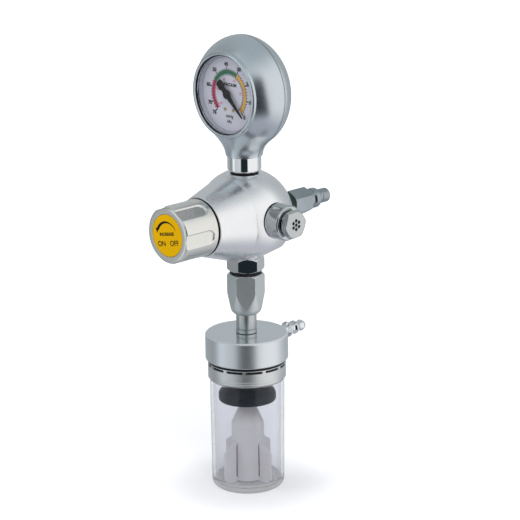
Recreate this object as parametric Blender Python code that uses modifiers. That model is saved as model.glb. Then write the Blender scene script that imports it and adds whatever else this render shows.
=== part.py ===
"""Vacuum regulator with a dial gauge, an adjusting knob and an overflow trap jar.

The regulator stands on its jar. The origin is the centre of the jar's base, +Z is up, the
knob and the dial face -Y, the relief valve is on +X and the wall probe points to +Y.
Lengths are metres.
"""
import math

import bmesh
import bpy
from mathutils import Matrix, Vector

# Clearances and facets
GAP = 0.0003
SLIDE_FIT = 0.0003
PRESS_FIT = 0.0003
SIDES_BIG = 24
SIDES_MID = 16
SIDES_SMALL = 12
SIDES_TINY = 8
OVERSHOOT = 0.001
WELD = 0.000001
SMOOTH_ANGLE = 32.0
CHAMFER_SLOPE = 1.2
SPRING_END_PITCH = 2.2
COIL_POINTS = 8

# Trap jar
JAR_R_TOP = 0.0251
JAR_R_BASE = 0.0245
JAR_SHOULDER_Z = 0.0766
JAR_CORNER_R = 0.0050
JAR_WALL = 0.0020
JAR_FLOOR = 0.0047
JAR_FLOOR_CORNER_R = 0.0030
JAR_NECK_WALL = 0.0019
JAR_NECK_R = 0.0235
JAR_NECK_HEIGHT = 0.0160

# Slotted jar collar and the lid above it
COLLAR_R = 0.0262
COLLAR_HEIGHT = 0.0122
COLLAR_EDGE = 0.0010
COLLAR_THREAD_R = 0.0249
SLOT_COUNT = 12
SLOT_ARC = 24.0
SLOT_HEIGHT = 0.0012
SLOT_DEPTH = 0.0012
SLOT_BELOW_TOP = 0.0021
SLOT_TURN = 26.9
LID_RING_THICKNESS = 0.0006
LID_RING_R = 0.0261
LID_R = 0.0278
LID_HEIGHT = 0.0179
LID_EDGE = 0.0007
GASKET_THICKNESS = 0.0020
GASKET_WIDTH = 0.0040
LID_HEADSPACE = 0.0034
LID_HEADSPACE_R = 0.0200

# Hose barb on the lid
BARB_BELOW_TOP = 0.0072
BARB_SPIGOT_R = 0.0040
BARB_SPIGOT_LENGTH = 0.0075
BARB_ROOT_R = 0.0036
BARB_BEAD_RS = (0.0054, 0.0047, 0.0039)
BARB_BEAD_PITCH = 0.0065
BARB_BEAD_RISE = 0.0013
BARB_BEAD_LAND = 0.0021
BARB_BEAD_FALL = 0.0052
BARB_TIP_LENGTH = 0.0042
BARB_NECK_R = 0.0033
BARB_ROOT_LENGTH = 0.0086
BARB_TIP_R = 0.0028
BARB_BORE_R = 0.0019
BARB_DROP_Y = 0.0170

# Float and its rubber seal
FLOAT_R = 0.0110
FLOAT_SHOULDER_HEIGHT = 0.0391
FLOAT_CONE_HEIGHT = 0.0150
FLOAT_NOSE_R = 0.0050
FLOAT_SPIGOT_R = 0.0030
FLOAT_SPIGOT_HEIGHT = 0.0090
FLOAT_NOSE_BAND = 0.0018
FIN_REACH = 0.0210
FIN_THICKNESS = 0.0020
FIN_HEIGHT = 0.0220
FIN_RISE = 0.0060
FIN_FOOT_CHAMFER = 0.0025
SEAL_R = 0.0194
SEAL_SHOULDER_R = 0.0157
SEAL_TOP_R = 0.0100
SEAL_BAND = 0.0036
SEAL_EDGE = 0.0012
SEAL_SHOULDER_RISE = 0.0083
SEAL_HEIGHT = 0.0143
FLOAT_TRAVEL = 0.0117
SEAT_NOZZLE_R = 0.0065
SEAT_FLANGE_R = 0.0090
SEAT_FLANGE_THICKNESS = 0.0040
SEAT_BORE_R = 0.0030

# Outlet stem, union nut and outlet fitting
STEM_R = 0.00687
STEM_EXPOSED = 0.0133
STEM_FLANGE_R = 0.0071
STEM_FLANGE_HEIGHT = 0.0026
STEM_GROOVE_R = 0.0063
STEM_GROOVE_HEIGHT = 0.0005
STEM_SPIGOT_R = 0.0060
STEM_SPIGOT_DEPTH = 0.0046
STEM_HEAD_HEIGHT = 0.0060
STEM_BORE_R = 0.0025
UNION_AF = 0.0220
UNION_HEIGHT = 0.0279
UNION_CONE_HEIGHT = 0.0161
UNION_CONE_R = 0.0104
UNION_FOOT_RISE = 0.0034
UNION_FOOT_R = 0.0078
UNION_CORNER_CHAMFER = 0.0015
UNION_FLOOR = 0.0120
UNION_BORE_R = 0.0099
OUTLET_SEAL_THICKNESS = 0.0016
OUTLET_SEAL_R = 0.0106
OUTLET_AF = 0.0220
OUTLET_HEX_HEIGHT = 0.0107
OUTLET_CHAMFER = 0.0014
OUTLET_MALE_R = 0.0096
OUTLET_MALE_LENGTH = 0.0110
OUTLET_SPIGOT_R = 0.0070
OUTLET_SPIGOT_LENGTH = 0.0043
OUTLET_HEX_TURN = 52.8
UNION_HEX_TURN = 45.4

# Ball-shaped regulator body
BODY_R = 0.0320
BODY_SHOULDER = 0.0160
BODY_FOOT_CUT = 0.0059
BODY_FOOT_DROP = BODY_R - BODY_FOOT_CUT
BODY_FOOT_R = 0.0132
BODY_FOOT_SLOPE = 0.57
BODY_HEAD_CUT = 0.0026
BODY_HEAD_RISE = BODY_R - BODY_HEAD_CUT
BODY_SIDE_CUT = 0.0032
BODY_SIDE_REACH = BODY_R - BODY_SIDE_CUT
BODY_SIDE_R = 0.0120
BOSS_R = 0.0086
BOSS_STANDS = 0.0045
BOSS_REACH = BODY_R + BOSS_STANDS
BOSS_EDGE = 0.0006
PORT_R = 0.0020
PORT_INSET = 0.0105
PORT_DEPTH = BODY_R - PORT_INSET
DIAPHRAGM_SEAT = 0.0080
DIAPHRAGM_CHAMBER_R = 0.0210
DIAPHRAGM_CHAMBER_DEPTH = 0.0035
DIAPHRAGM_R = 0.0241
DIAPHRAGM_THICKNESS = 0.0008
DIAPHRAGM_PLATE_R = 0.0125
DIAPHRAGM_PLATE_THICKNESS = 0.0015

# Valve in the middle of the body
VALVE_BORE_R = 0.0070
VALVE_BORE_DEPTH = 0.0126
VALVE_SEAT_THICKNESS = 0.0019
VALVE_SEAT_HOLE_R = 0.0022
POPPET_R = 0.0042
POPPET_THICKNESS = 0.0030
POPPET_STEM_R = 0.0010
VALVE_SPRING_R = 0.0045
VALVE_SPRING_WIRE = 0.0006
VALVE_SPRING_TURNS = 4

# Bonnet, regulating spring and spindle
BONNET_LENGTH = 0.0247
BONNET_FRONT_R = 0.0199
BONNET_SKIRT_WALL = 0.0028
BONNET_SKIRT_DEPTH = 0.0140
SPRING_CHAMBER_R = 0.0130
KEYWAY_DEPTH = 0.0020
KEYWAY_WIDTH = 0.0032
SPRING_SEAT_THICKNESS = 0.0042
SPRING_SEAT_PLACE = 0.0206
SPRING_SEAT_HUB_R = 0.0055
SPRING_R = 0.0085
SPRING_WIRE = 0.0007
SPRING_TURNS = 2
SPINDLE_R = 0.0030
SPINDLE_INNER_END = 0.0140
SPINDLE_FLANGE_R = 0.0060
SPINDLE_FLANGE_THICKNESS = 0.0025
BONNET_WALL = 0.0050

# Knob, its ring, screw and label
KNOB_R = 0.0190
KNOB_LENGTH = 0.02805
KNOB_FACE_R = 0.0166
KNOB_EDGE = 0.0024
KNOB_REAR_GAP = 0.0007
KNOB_REAR_EDGE = 0.0006
KNOB_WEB = 0.0017
FLUTE_COUNT = 6
FLUTE_WIDTH = 0.0092
FLUTE_DEPTH = 0.0013
FLUTE_REAR_LAND = 0.0040
FLUTE_TURN = -5.0
KNOB_RING_R = 0.0188
KNOB_RING_WIDTH = 0.0036
KNOB_RING_THICKNESS = 0.0010
KNOB_RING_STANDS = 0.0004
LABEL_R = 0.01384
LABEL_THICKNESS = 0.0006
SCREW_HEAD_R = 0.0032
SCREW_HEAD_HEIGHT = 0.0021
SCREW_SHANK_R = 0.0015
SCREW_SHANK_LENGTH = 0.0070
CROWN_SHARE = 0.85
CROWN_START = 0.6
DRIVER_SLOT_REACH = 1.2
DRIVER_SLOT_HALF = 0.16
DRIVER_SLOT_FLOOR = 0.55

# Relief valve on the right
RELIEF_SEAL_THICKNESS = 0.0006
RELIEF_RISE = 0.0020
RELIEF_SEAL_R = 0.0114
RELIEF_BODY_R = 0.0117
RELIEF_BODY_LENGTH = 0.0113
RELIEF_BODY_EDGE = 0.0008
RELIEF_GROOVE_R = 0.0075
RELIEF_GROOVE_WIDTH = 0.0014
RELIEF_SPIGOT_R = 0.0060
RELIEF_SPIGOT_LENGTH = 0.0072
RELIEF_STUB_R = 0.0059
RELIEF_STUB_LENGTH = 0.0028
RELIEF_CHAMBER_R = 0.0042
RELIEF_SEAT_THICKNESS = 0.0030
RELIEF_CAP_AF = 0.0172
RELIEF_CAP_LENGTH = 0.0044
RELIEF_CAP_FACE = 0.0014
RELIEF_CAP_CHAMFER = 0.0005
RELIEF_CAP_TURN = 6.0
VENT_HOLE_R = 0.0006
VENT_RING_R = 0.0024
VENT_COUNT = 6
RELIEF_POPPET_R = 0.0036
RELIEF_POPPET_THICKNESS = 0.0020
RELIEF_SPRING_R = 0.0028
RELIEF_SPRING_WIRE = 0.0004
RELIEF_SPRING_TURNS = 4

# Wall probe at the back
PROBE_SEAL_THICKNESS = 0.0039
PROBE_SEAL_R = 0.0083
PROBE_AF = 0.0160
PROBE_HEX_LENGTH = 0.0160
PROBE_CHAMFER = 0.0008
PROBE_SHANK_R = 0.0057
PROBE_SHANK_DEPTH = 0.0142
PROBE_NECK_R = 0.0060
PROBE_NECK_LENGTH = 0.0040
PROBE_COLLAR_R = 0.0069
PROBE_COLLAR_LENGTH = 0.0065
PROBE_COLLAR_EDGE = 0.0016
PROBE_WAIST_R = 0.0043
PROBE_WAIST_LENGTH = 0.0035
PROBE_TIP_R = 0.0049
PROBE_TIP_LENGTH = 0.0071
PROBE_TIP_EDGE = 0.0015
PROBE_BORE_R = 0.0019

# Gauge collar, neck and ball-shaped housing
GAUGE_SEAL_THICKNESS = 0.0008
GAUGE_SEAL_R = 0.0106
GAUGE_COLLAR_R = 0.01126
GAUGE_COLLAR_HEIGHT = 0.0102
GAUGE_COLLAR_EDGE = 0.0012
NECK_R = 0.0121
NECK_LIP_R = 0.0127
NECK_LIP_HEIGHT = 0.0012
NECK_LENGTH = 0.0140
NECK_BORE_R = 0.0100
NECK_TO_DIAL = 0.0423
BALL_R = 0.0372
BALL_FRONT = 0.0276
BALL_BACK = 0.0218
BALL_WALL = 0.0022
SEAM_BACK = 0.0009
RIM_R = 0.0282
RIM_REACH = 0.0193
RIM_LIP = 0.0006
WINDOW_R = 0.0261
LEDGE_R = 0.0246
LEDGE_REACH = 0.0139
LEDGE_THICKNESS = 0.0010
GASKET_RING_THICKNESS = 0.0010
LENS_THICKNESS = 0.0018
SHELL_SCREW_INSET = 0.0067
SHELL_SCREW_PLACE = BALL_R - SHELL_SCREW_INSET
SHELL_BOSS_R = 0.0030
SHELL_BOSS_FRONT = 0.0100
SHELL_SCREW_R = 0.0012
SHELL_SCREW_HEAD_R = 0.0024
SHELL_SCREW_HEAD_HEIGHT = 0.0020
SHELL_SCREW_SEAT = 0.0052
SHELL_SCREW_LENGTH = 0.0110

# Dial and pointer
DIAL_R = 0.0252
DIAL_THICKNESS = 0.0008
DIAL_REACH = 0.0125
DIAL_HOLE_R = 0.0020
DIAL_SCREW_X = 0.0037
DIAL_SCREW_DROP = 0.0102
DIAL_SCREW_HEAD_R = 0.0010
DIAL_SCREW_HEAD_HEIGHT = 0.0006
DIAL_SCREW_R = 0.0006
DIAL_SCREW_GRIP = 0.6
POINTER_LENGTH = 0.0190
POINTER_THICKNESS = 0.0004
POINTER_REACH = 0.0145
POINTER_ROOT_WIDTH = 0.0018
POINTER_TIP_WIDTH = 0.0004
POINTER_HUB_R = 0.0025
POINTER_HUB_HEIGHT = 0.0010
POINTER_TAIL = 0.0080
POINTER_WEIGHT_R = 0.0027
POINTER_ANGLE = -45.0

# Gauge movement
ARBOR_R = 0.0008
PIVOT_FIT = 0.0003
PLATE_THICKNESS = 0.0012
FRONT_PLATE_REACH = 0.0106
PLATE_SPACING = 0.0069
GEAR_PLACE = 0.62
PLATE_HALF_WIDTH = 0.0085
PLATE_TOP = 0.0055
FRONT_PLATE_FOOT = 0.0200
BACK_PLATE_FOOT = 0.0245
PILLAR_R = 0.0012
PILLAR_X = 0.0066
PILLAR_RISE = 0.0030
PILLAR_DROP = 0.0182
TOOTH_PITCH = 0.001005
PINION_TEETH = 10
GEAR_RATIO = 8
TOOTH_TIP = 0.00025
TOOTH_ROOT = 0.00040
TOOTH_ROOT_HALF = 0.00024
TOOTH_TIP_HALF = 0.00011
MESH_PLAY = 0.00012
PINION_WIDTH = 0.0020
SECTOR_THICKNESS = 0.0008
SECTOR_TEETH = 12
SECTOR_TEETH_BELOW = 2
SECTOR_HUB_R = 0.0021
SECTOR_TAIL = 0.0066
SECTOR_TAIL_HALF = 0.0013
SECTOR_TAIL_ANGLE = 190.0
LINK_HOLE_PLACE = 0.0052
LINK_PIN_R = 0.0005
LINK_HALF = 0.0011
LINK_THICKNESS = 0.0008
HAIRSPRING_WIRE = 0.00014
HAIRSPRING_INNER_R = 0.0015
HAIRSPRING_OUTER_R = 0.0038
HAIRSPRING_TURNS = 3

# Bourdon tube and the socket that carries the movement
TUBE_INSET = 0.0122
TUBE_R = BALL_R - TUBE_INSET
TUBE_HALF_THICKNESS = 0.0008
TUBE_HALF_WIDTH = 0.0025
TUBE_BEHIND = 0.0055
TUBE_END_ANGLE = 205.0
TUBE_STEPS = 20
TIP_LENGTH = 0.0040
TIP_WIDTH = 0.0030
SOCKET_STEM_R = 0.0060
SOCKET_HALF_WIDTH = 0.0065
SOCKET_BLOCK_HEIGHT = 0.0100
SOCKET_BLOCK_DEPTH = 0.0114
SOCKET_BLOCK_DROP = 0.0170
SOCKET_BORE_R = 0.0015
MOVEMENT_SCREW_X = 0.0038
MOVEMENT_SCREW_HEAD_R = 0.0014
MOVEMENT_SCREW_HEAD_HEIGHT = 0.0008
MOVEMENT_SCREW_R = 0.0007
MOVEMENT_SCREW_LENGTH = 0.0040
MOVEMENT_SCREW_DROP = 0.0222

# Heights that follow from the sizes above
COLLAR_BOTTOM = JAR_SHOULDER_Z + GAP
COLLAR_TOP = COLLAR_BOTTOM + COLLAR_HEIGHT
LID_BOTTOM = COLLAR_TOP + LID_RING_THICKNESS + 2.0 * GAP
LID_TOP = LID_BOTTOM + LID_HEIGHT
JAR_TOP = JAR_SHOULDER_Z + JAR_NECK_HEIGHT
GASKET_BOTTOM = JAR_TOP + GAP
LID_SHELF = GASKET_BOTTOM + GASKET_THICKNESS + GAP
LID_CEILING = LID_SHELF + LID_HEADSPACE
UNION_BOTTOM = LID_TOP + STEM_EXPOSED
UNION_TOP = UNION_BOTTOM + UNION_HEIGHT
OUTLET_BOTTOM = UNION_TOP + OUTLET_SEAL_THICKNESS + 2.0 * GAP
OUTLET_TOP = OUTLET_BOTTOM + OUTLET_HEX_HEIGHT
BODY_Z = OUTLET_TOP + GAP + BODY_FOOT_DROP
RELIEF_Z = BODY_Z + RELIEF_RISE
HEAD_Z = BODY_Z + BODY_HEAD_RISE
GAUGE_COLLAR_BOTTOM = HEAD_Z + GAUGE_SEAL_THICKNESS + 2.0 * GAP
NECK_BOTTOM = GAUGE_COLLAR_BOTTOM + GAUGE_COLLAR_HEIGHT + GAP
GAUGE_Z = NECK_BOTTOM + NECK_TO_DIAL
FLOAT_BOTTOM = JAR_FLOOR + GAP
SEAL_BOTTOM = FLOAT_BOTTOM + FLOAT_SHOULDER_HEIGHT + FLOAT_CONE_HEIGHT + FLOAT_NOSE_BAND + GAP
SEAT_BOTTOM = SEAL_BOTTOM + SEAL_HEIGHT + FLOAT_TRAVEL + GAP

# Distances forward of the body's centre that follow from the sizes above
DIAPHRAGM_BACK = DIAPHRAGM_SEAT + GAP
SKIRT_END = DIAPHRAGM_BACK + DIAPHRAGM_THICKNESS + GAP
BONNET_FRONT = BODY_SHOULDER + GAP + BONNET_LENGTH
KNOB_REAR = BONNET_FRONT + KNOB_REAR_GAP
KNOB_FRONT = KNOB_REAR + KNOB_LENGTH
LABEL_FLOOR = KNOB_FRONT - LABEL_THICKNESS - GAP
SCREW_FLOOR = LABEL_FLOOR - GAP - SCREW_HEAD_HEIGHT - GAP
PROBE_HEX_START = BOSS_REACH + PROBE_SEAL_THICKNESS + 2.0 * GAP

BACK_PLATE_REACH = FRONT_PLATE_REACH - 2.0 * PLATE_THICKNESS - PLATE_SPACING
GEAR_FRONT = BACK_PLATE_REACH + PLATE_THICKNESS + PLATE_SPACING * GEAR_PLACE

# Sizes of the gear pair that follow from its pitch
PINION_PITCH_R = TOOTH_PITCH * PINION_TEETH / (2.0 * math.pi)
SECTOR_PITCH_R = PINION_PITCH_R * GEAR_RATIO
GEAR_CENTRES = PINION_PITCH_R + SECTOR_PITCH_R + MESH_PLAY
SECTOR_PITCH_ANGLE = 360.0 / (PINION_TEETH * GEAR_RATIO)

# Directions of a piece's own +Z
UP = Matrix.Identity(4)
DOWNWARD = Matrix.Rotation(math.pi, 4, "X")
FORWARD = Matrix.Rotation(math.radians(90.0), 4, "X")
BACKWARD = Matrix.Rotation(math.radians(-90.0), 4, "X")
RIGHTWARD = Matrix.Rotation(math.radians(90.0), 4, "Y")

# Colour, roughness, metallic value and opacity of each finish
FINISHES = {
    "satin_aluminium": ((0.80, 0.81, 0.83), 0.30, 1.0, 1.0),
    "silver_housing": ((0.62, 0.66, 0.70), 0.38, 0.9, 1.0),
    "chrome": ((0.86, 0.87, 0.88), 0.08, 1.0, 1.0),
    "zinc_plate": ((0.55, 0.60, 0.63), 0.30, 1.0, 1.0),
    "steel": ((0.60, 0.61, 0.62), 0.25, 1.0, 1.0),
    "brass": ((0.75, 0.58, 0.28), 0.30, 1.0, 1.0),
    "dial_white": ((0.80, 0.81, 0.85), 0.45, 0.0, 1.0),
    "pointer_black": ((0.02, 0.02, 0.02), 0.45, 0.0, 1.0),
    "label_yellow": ((0.76, 0.47, 0.02), 0.40, 0.0, 1.0),
    "black_rubber": ((0.02, 0.02, 0.025), 0.65, 0.0, 1.0),
    "green_rubber": ((0.03, 0.09, 0.06), 0.60, 0.0, 1.0),
    "float_white": ((0.72, 0.72, 0.74), 0.45, 0.0, 1.0),
    "clear_plastic": ((0.88, 0.88, 0.94), 0.05, 0.0, 0.25),
}


def clear_scene():
    """Removes what the scene holds."""
    for obj in list(bpy.data.objects):
        bpy.data.objects.remove(obj, do_unlink=True)


def new_collection(name):
    """Makes a collection in the scene."""
    collection = bpy.data.collections.new(name)
    bpy.context.scene.collection.children.link(collection)
    return collection


def finish(name, piece):
    """Makes the material of one piece from a named finish."""
    colour, roughness, metallic, opacity = FINISHES[name]
    material = bpy.data.materials.new(f"{name}_{piece}")
    material.use_nodes = True
    material.diffuse_color = (*colour, opacity)
    shader = material.node_tree.nodes["Principled BSDF"]
    shader.inputs["Base Color"].default_value = (*colour, 1.0)
    shader.inputs["Roughness"].default_value = roughness
    shader.inputs["Metallic"].default_value = metallic
    shader.inputs["Alpha"].default_value = opacity
    return material


def place(obj, frame, look):
    """Puts an object in the scene: a part if it has a look, otherwise a cutter."""
    obj.matrix_world = frame
    if look:
        parts.objects.link(obj)
        obj.data.materials.append(finish(look, obj.name))
        return obj
    cutters.objects.link(obj)
    obj.hide_render = True
    obj.display_type = "WIRE"
    return obj


def at(x, y, z, direction=UP, turn=0.0):
    """Frame at a point, facing a direction, turned in degrees about its own +Z."""
    spin = Matrix.Rotation(math.radians(turn), 4, "Z")
    return Matrix.Translation((x, y, z)) @ direction @ spin


def arc(centre_r, centre_h, size_r, size_h, start, end, steps):
    """Points of an ellipse arc in a profile, from one angle in degrees to another."""
    points = []
    for step in range(steps + 1):
        angle = math.radians(start + (end - start) * step / steps)
        points.append((centre_r + size_r * math.cos(angle), centre_h + size_h * math.sin(angle)))
    return points


def polar(radius, degrees):
    """Point at a radius and angle in a flat outline."""
    angle = math.radians(degrees)
    return (radius * math.cos(angle), radius * math.sin(angle))


def circle(radius, x=0.0, y=0.0, sides=SIDES_TINY):
    """Closed outline of a round hole or disc."""
    return [(x + px, y + py) for px, py in (polar(radius, 360.0 * i / sides) for i in range(sides))]


def turned(name, profile, frame, sides, look=None):
    """Solid of revolution about the frame's +Z, from (radius, height) points.

    The points run up the inner side, if there is one, and then down the outer side.
    """
    mesh = bpy.data.meshes.new(name)
    edges = [(i, i + 1) for i in range(len(profile) - 1)]
    if profile[0][0] > 0.0:
        edges.append((len(profile) - 1, 0))
    mesh.from_pydata([(radius, 0.0, height) for radius, height in profile], edges, [])
    obj = place(bpy.data.objects.new(name, mesh), frame, look)
    screw = obj.modifiers.new("Turn", "SCREW")
    screw.steps = sides
    screw.render_steps = sides
    screw.use_merge_vertices = True
    screw.merge_threshold = WELD
    return obj


def rod(name, radius, low, high, frame, sides, look=None):
    """Plain cylinder between two heights of the frame."""
    return turned(name, [(0.0, high), (radius, high), (radius, low), (0.0, low)], frame, sides, look)


def prism(name, across_flats, low, high, frame, look=None):
    """Hexagonal bar between two heights, with a flat facing the frame's +X."""
    corner_r = across_flats / math.sqrt(3.0)
    bm = bmesh.new()
    bmesh.ops.create_cone(
        bm, cap_ends=True, segments=6, radius1=corner_r, radius2=corner_r, depth=high - low
    )
    bmesh.ops.translate(bm, verts=bm.verts, vec=(0.0, 0.0, (low + high) / 2.0))
    mesh = bpy.data.meshes.new(name)
    bm.to_mesh(mesh)
    bm.free()
    return place(bpy.data.objects.new(name, mesh), frame, look)


def box(name, low, high, frame=UP, look=None):
    """Box between two corners of the frame."""
    size = Vector(high) - Vector(low)
    bm = bmesh.new()
    bmesh.ops.create_cube(bm, size=1.0)
    bmesh.ops.scale(bm, verts=bm.verts, vec=size)
    bmesh.ops.translate(bm, verts=bm.verts, vec=(Vector(low) + Vector(high)) / 2.0)
    mesh = bpy.data.meshes.new(name)
    bm.to_mesh(mesh)
    bm.free()
    return place(bpy.data.objects.new(name, mesh), frame, look)


def plate(name, outlines, low, high, frame, look=None):
    """Flat plate between two heights, from closed outlines; inner outlines are holes."""
    curve = bpy.data.curves.new(name, "CURVE")
    curve.dimensions = "2D"
    curve.fill_mode = "BOTH"
    curve.extrude = (high - low) / 2.0
    for outline in outlines:
        spline = curve.splines.new("POLY")
        spline.points.add(len(outline) - 1)
        spline.use_cyclic_u = True
        for point, (x, y) in zip(spline.points, outline):
            point.co = (x, y, 0.0, 1.0)
    return meshed(name, curve, frame @ Matrix.Translation((0.0, 0.0, (low + high) / 2.0)), look)


def wire(name, points, radius, frame, look, resolution=2):
    """Round wire along a row of points."""
    curve = bpy.data.curves.new(name, "CURVE")
    curve.dimensions = "3D"
    curve.bevel_depth = radius
    curve.bevel_resolution = resolution
    curve.use_fill_caps = True
    spline = curve.splines.new("POLY")
    spline.points.add(len(points) - 1)
    for point, place_on_wire in zip(spline.points, points):
        point.co = (*place_on_wire, 1.0)
    return meshed(name, curve, frame, look)


def meshed(name, curve, frame, look):
    """Mesh object made from a curve, with its loose caps welded on."""
    sketch = bpy.data.objects.new(f"{name}_sketch", curve)
    cutters.objects.link(sketch)
    graph = bpy.context.evaluated_depsgraph_get()
    mesh = bpy.data.meshes.new_from_object(sketch.evaluated_get(graph))
    bm = bmesh.new()
    bm.from_mesh(mesh)
    bmesh.ops.remove_doubles(bm, verts=bm.verts, dist=WELD)
    bmesh.ops.recalc_face_normals(bm, faces=bm.faces)
    bm.to_mesh(mesh)
    bm.free()
    bpy.data.objects.remove(sketch, do_unlink=True)
    return place(bpy.data.objects.new(name, mesh), frame, look)


def coil(name, radius, wire_r, turns, low, high, frame, look):
    """Compression spring between two heights, with a flat dead turn at each end."""
    end_pitch = wire_r * SPRING_END_PITCH
    points = []
    for i in range((turns + 2) * COIL_POINTS + 1):
        live = min(max(i / COIL_POINTS - 1.0, 0.0), turns) / turns
        dead = min(i / COIL_POINTS, 1.0) + max(i / COIL_POINTS - turns - 1.0, 0.0)
        rise = (high - low - 2.0 * wire_r - 2.0 * end_pitch) * live + end_pitch * dead
        x, y = polar(radius, 360.0 * i / COIL_POINTS)
        points.append((x, y, low + wire_r + rise))
    return wire(name, points, wire_r, frame, look, 0)


def combine(obj, other, operation):
    """Adds, cuts away or keeps what is shared with another object."""
    step = obj.modifiers.new(operation.title(), "BOOLEAN")
    step.operation = operation
    step.solver = "EXACT"
    step.object = other


def add(obj, *others):
    """Joins other solids to an object."""
    for other in others:
        combine(obj, other, "UNION")


def cut(obj, *others):
    """Cuts other solids out of an object."""
    for other in others:
        combine(obj, other, "DIFFERENCE")


def chamfered_hex(name, across_flats, low, high, chamfer_low, chamfer_high, frame, look=None):
    """Hexagon whose corners are turned off to a chamfer at either end."""
    corner_r = across_flats / math.sqrt(3.0)
    envelope = turned(
        f"{name}_envelope",
        [
            (0.0, high),
            (corner_r - chamfer_high * CHAMFER_SLOPE, high),
            (corner_r + GAP, high - chamfer_high),
            (corner_r + GAP, low + chamfer_low),
            (corner_r - chamfer_low * CHAMFER_SLOPE, low),
            (0.0, low),
        ],
        frame,
        SIDES_MID,
    )
    obj = prism(name, across_flats, low - OVERSHOOT, high + OVERSHOOT, frame, look)
    combine(obj, envelope, "INTERSECT")
    return obj


def slotted_screw(name, head_r, head_height, shank_r, shank_length, frame, look=None):
    """Screw with its head's seat at height 0, head upward, with a driver slot."""
    screw = turned(
        name,
        [
            (0.0, head_height),
            (head_r * CROWN_SHARE, head_height),
            (head_r, head_height * CROWN_START),
            (head_r, 0.0),
            (shank_r, 0.0),
            (shank_r, -shank_length),
            (0.0, -shank_length),
        ],
        frame,
        SIDES_TINY,
        look,
    )
    slot = box(
        f"{name}_slot",
        (-head_r * DRIVER_SLOT_REACH, -head_r * DRIVER_SLOT_HALF, head_height * DRIVER_SLOT_FLOOR),
        (head_r * DRIVER_SLOT_REACH, head_r * DRIVER_SLOT_HALF, head_height + OVERSHOOT),
        frame,
    )
    cut(screw, slot)
    return screw


def screw_pair(name, apart, head, shank, frame, look):
    """Two like screws, to the left and right of a frame; head and shank are (radius, length)."""
    for side, x in (("left", -apart), ("right", apart)):
        place_on_frame = frame @ Matrix.Translation((x, 0.0, 0.0))
        slotted_screw(f"{name}_{side}", *head, *shank, place_on_frame, look)


def build_jar():
    """Clear jar, stepped at the neck where the collar holds it."""
    wall_low = JAR_R_BASE - JAR_WALL
    wall_high = JAR_R_TOP - JAR_WALL
    neck_bore = JAR_NECK_R - JAR_NECK_WALL
    inner = [(0.0, JAR_FLOOR)]
    inner += arc(
        wall_low - JAR_FLOOR_CORNER_R, JAR_FLOOR + JAR_FLOOR_CORNER_R,
        JAR_FLOOR_CORNER_R, JAR_FLOOR_CORNER_R, -90.0, 0.0, 2,
    )
    inner += [
        (wall_high, JAR_SHOULDER_Z - 2.0 * JAR_WALL),
        (neck_bore, JAR_SHOULDER_Z),
        (neck_bore, JAR_TOP),
    ]
    outer = [(JAR_NECK_R, JAR_TOP), (JAR_NECK_R, JAR_SHOULDER_Z), (JAR_R_TOP, JAR_SHOULDER_Z)]
    outer += arc(
        JAR_R_BASE - JAR_CORNER_R, JAR_CORNER_R, JAR_CORNER_R, JAR_CORNER_R, 0.0, -90.0, 4
    )
    outer.append((0.0, 0.0))
    turned("jar", inner + outer, at(0.0, 0.0, 0.0), SIDES_BIG, "clear_plastic")


def build_float():
    """Float with four fins, and the rubber seal on its nose."""
    shoulder = FLOAT_BOTTOM + FLOAT_SHOULDER_HEIGHT
    nose = shoulder + FLOAT_CONE_HEIGHT
    band = nose + FLOAT_NOSE_BAND
    body = turned(
        "float_body",
        [
            (0.0, band + FLOAT_SPIGOT_HEIGHT - FLOAT_SPIGOT_R),
            (FLOAT_SPIGOT_R, band + FLOAT_SPIGOT_HEIGHT - FLOAT_SPIGOT_R),
            (FLOAT_SPIGOT_R, band),
            (FLOAT_NOSE_R, band),
            (FLOAT_NOSE_R, nose),
            (FLOAT_R, shoulder),
            (FLOAT_R, FLOAT_BOTTOM),
            (0.0, FLOAT_BOTTOM),
        ],
        at(0.0, 0.0, 0.0),
        SIDES_MID,
        "float_white",
    )
    fin_low = FLOAT_BOTTOM
    outline = [
        (-FIN_REACH, fin_low + FIN_FOOT_CHAMFER),
        (-FIN_REACH + FIN_FOOT_CHAMFER, fin_low),
        (FIN_REACH - FIN_FOOT_CHAMFER, fin_low),
        (FIN_REACH, fin_low + FIN_FOOT_CHAMFER),
        (FIN_REACH, fin_low + FIN_HEIGHT),
        (FLOAT_R, fin_low + FIN_HEIGHT + FIN_RISE),
        (-FLOAT_R, fin_low + FIN_HEIGHT + FIN_RISE),
        (-FIN_REACH, fin_low + FIN_HEIGHT),
    ]
    half = FIN_THICKNESS / 2.0
    for name, turn in (("fins_across", 0.0), ("fins_along", 90.0)):
        frame = Matrix.Rotation(math.radians(turn), 4, "Z") @ at(0.0, 0.0, 0.0, FORWARD)
        add(body, plate(name, [outline], -half, half, frame))
    top = SEAL_BOTTOM + SEAL_HEIGHT
    socket_r = FLOAT_SPIGOT_R + PRESS_FIT
    socket_top = SEAL_BOTTOM + FLOAT_SPIGOT_HEIGHT - FLOAT_SPIGOT_R
    turned(
        "float_seal",
        [
            (0.0, top),
            (SEAL_TOP_R, top),
            (SEAL_SHOULDER_R, SEAL_BOTTOM + SEAL_SHOULDER_RISE),
            (SEAL_R, SEAL_BOTTOM + SEAL_BAND),
            (SEAL_R, SEAL_BOTTOM + SEAL_EDGE),
            (SEAL_R - SEAL_EDGE, SEAL_BOTTOM),
            (socket_r, SEAL_BOTTOM),
            (socket_r, socket_top),
            (0.0, socket_top),
        ],
        at(0.0, 0.0, 0.0),
        SIDES_BIG,
        "black_rubber",
    )


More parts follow.
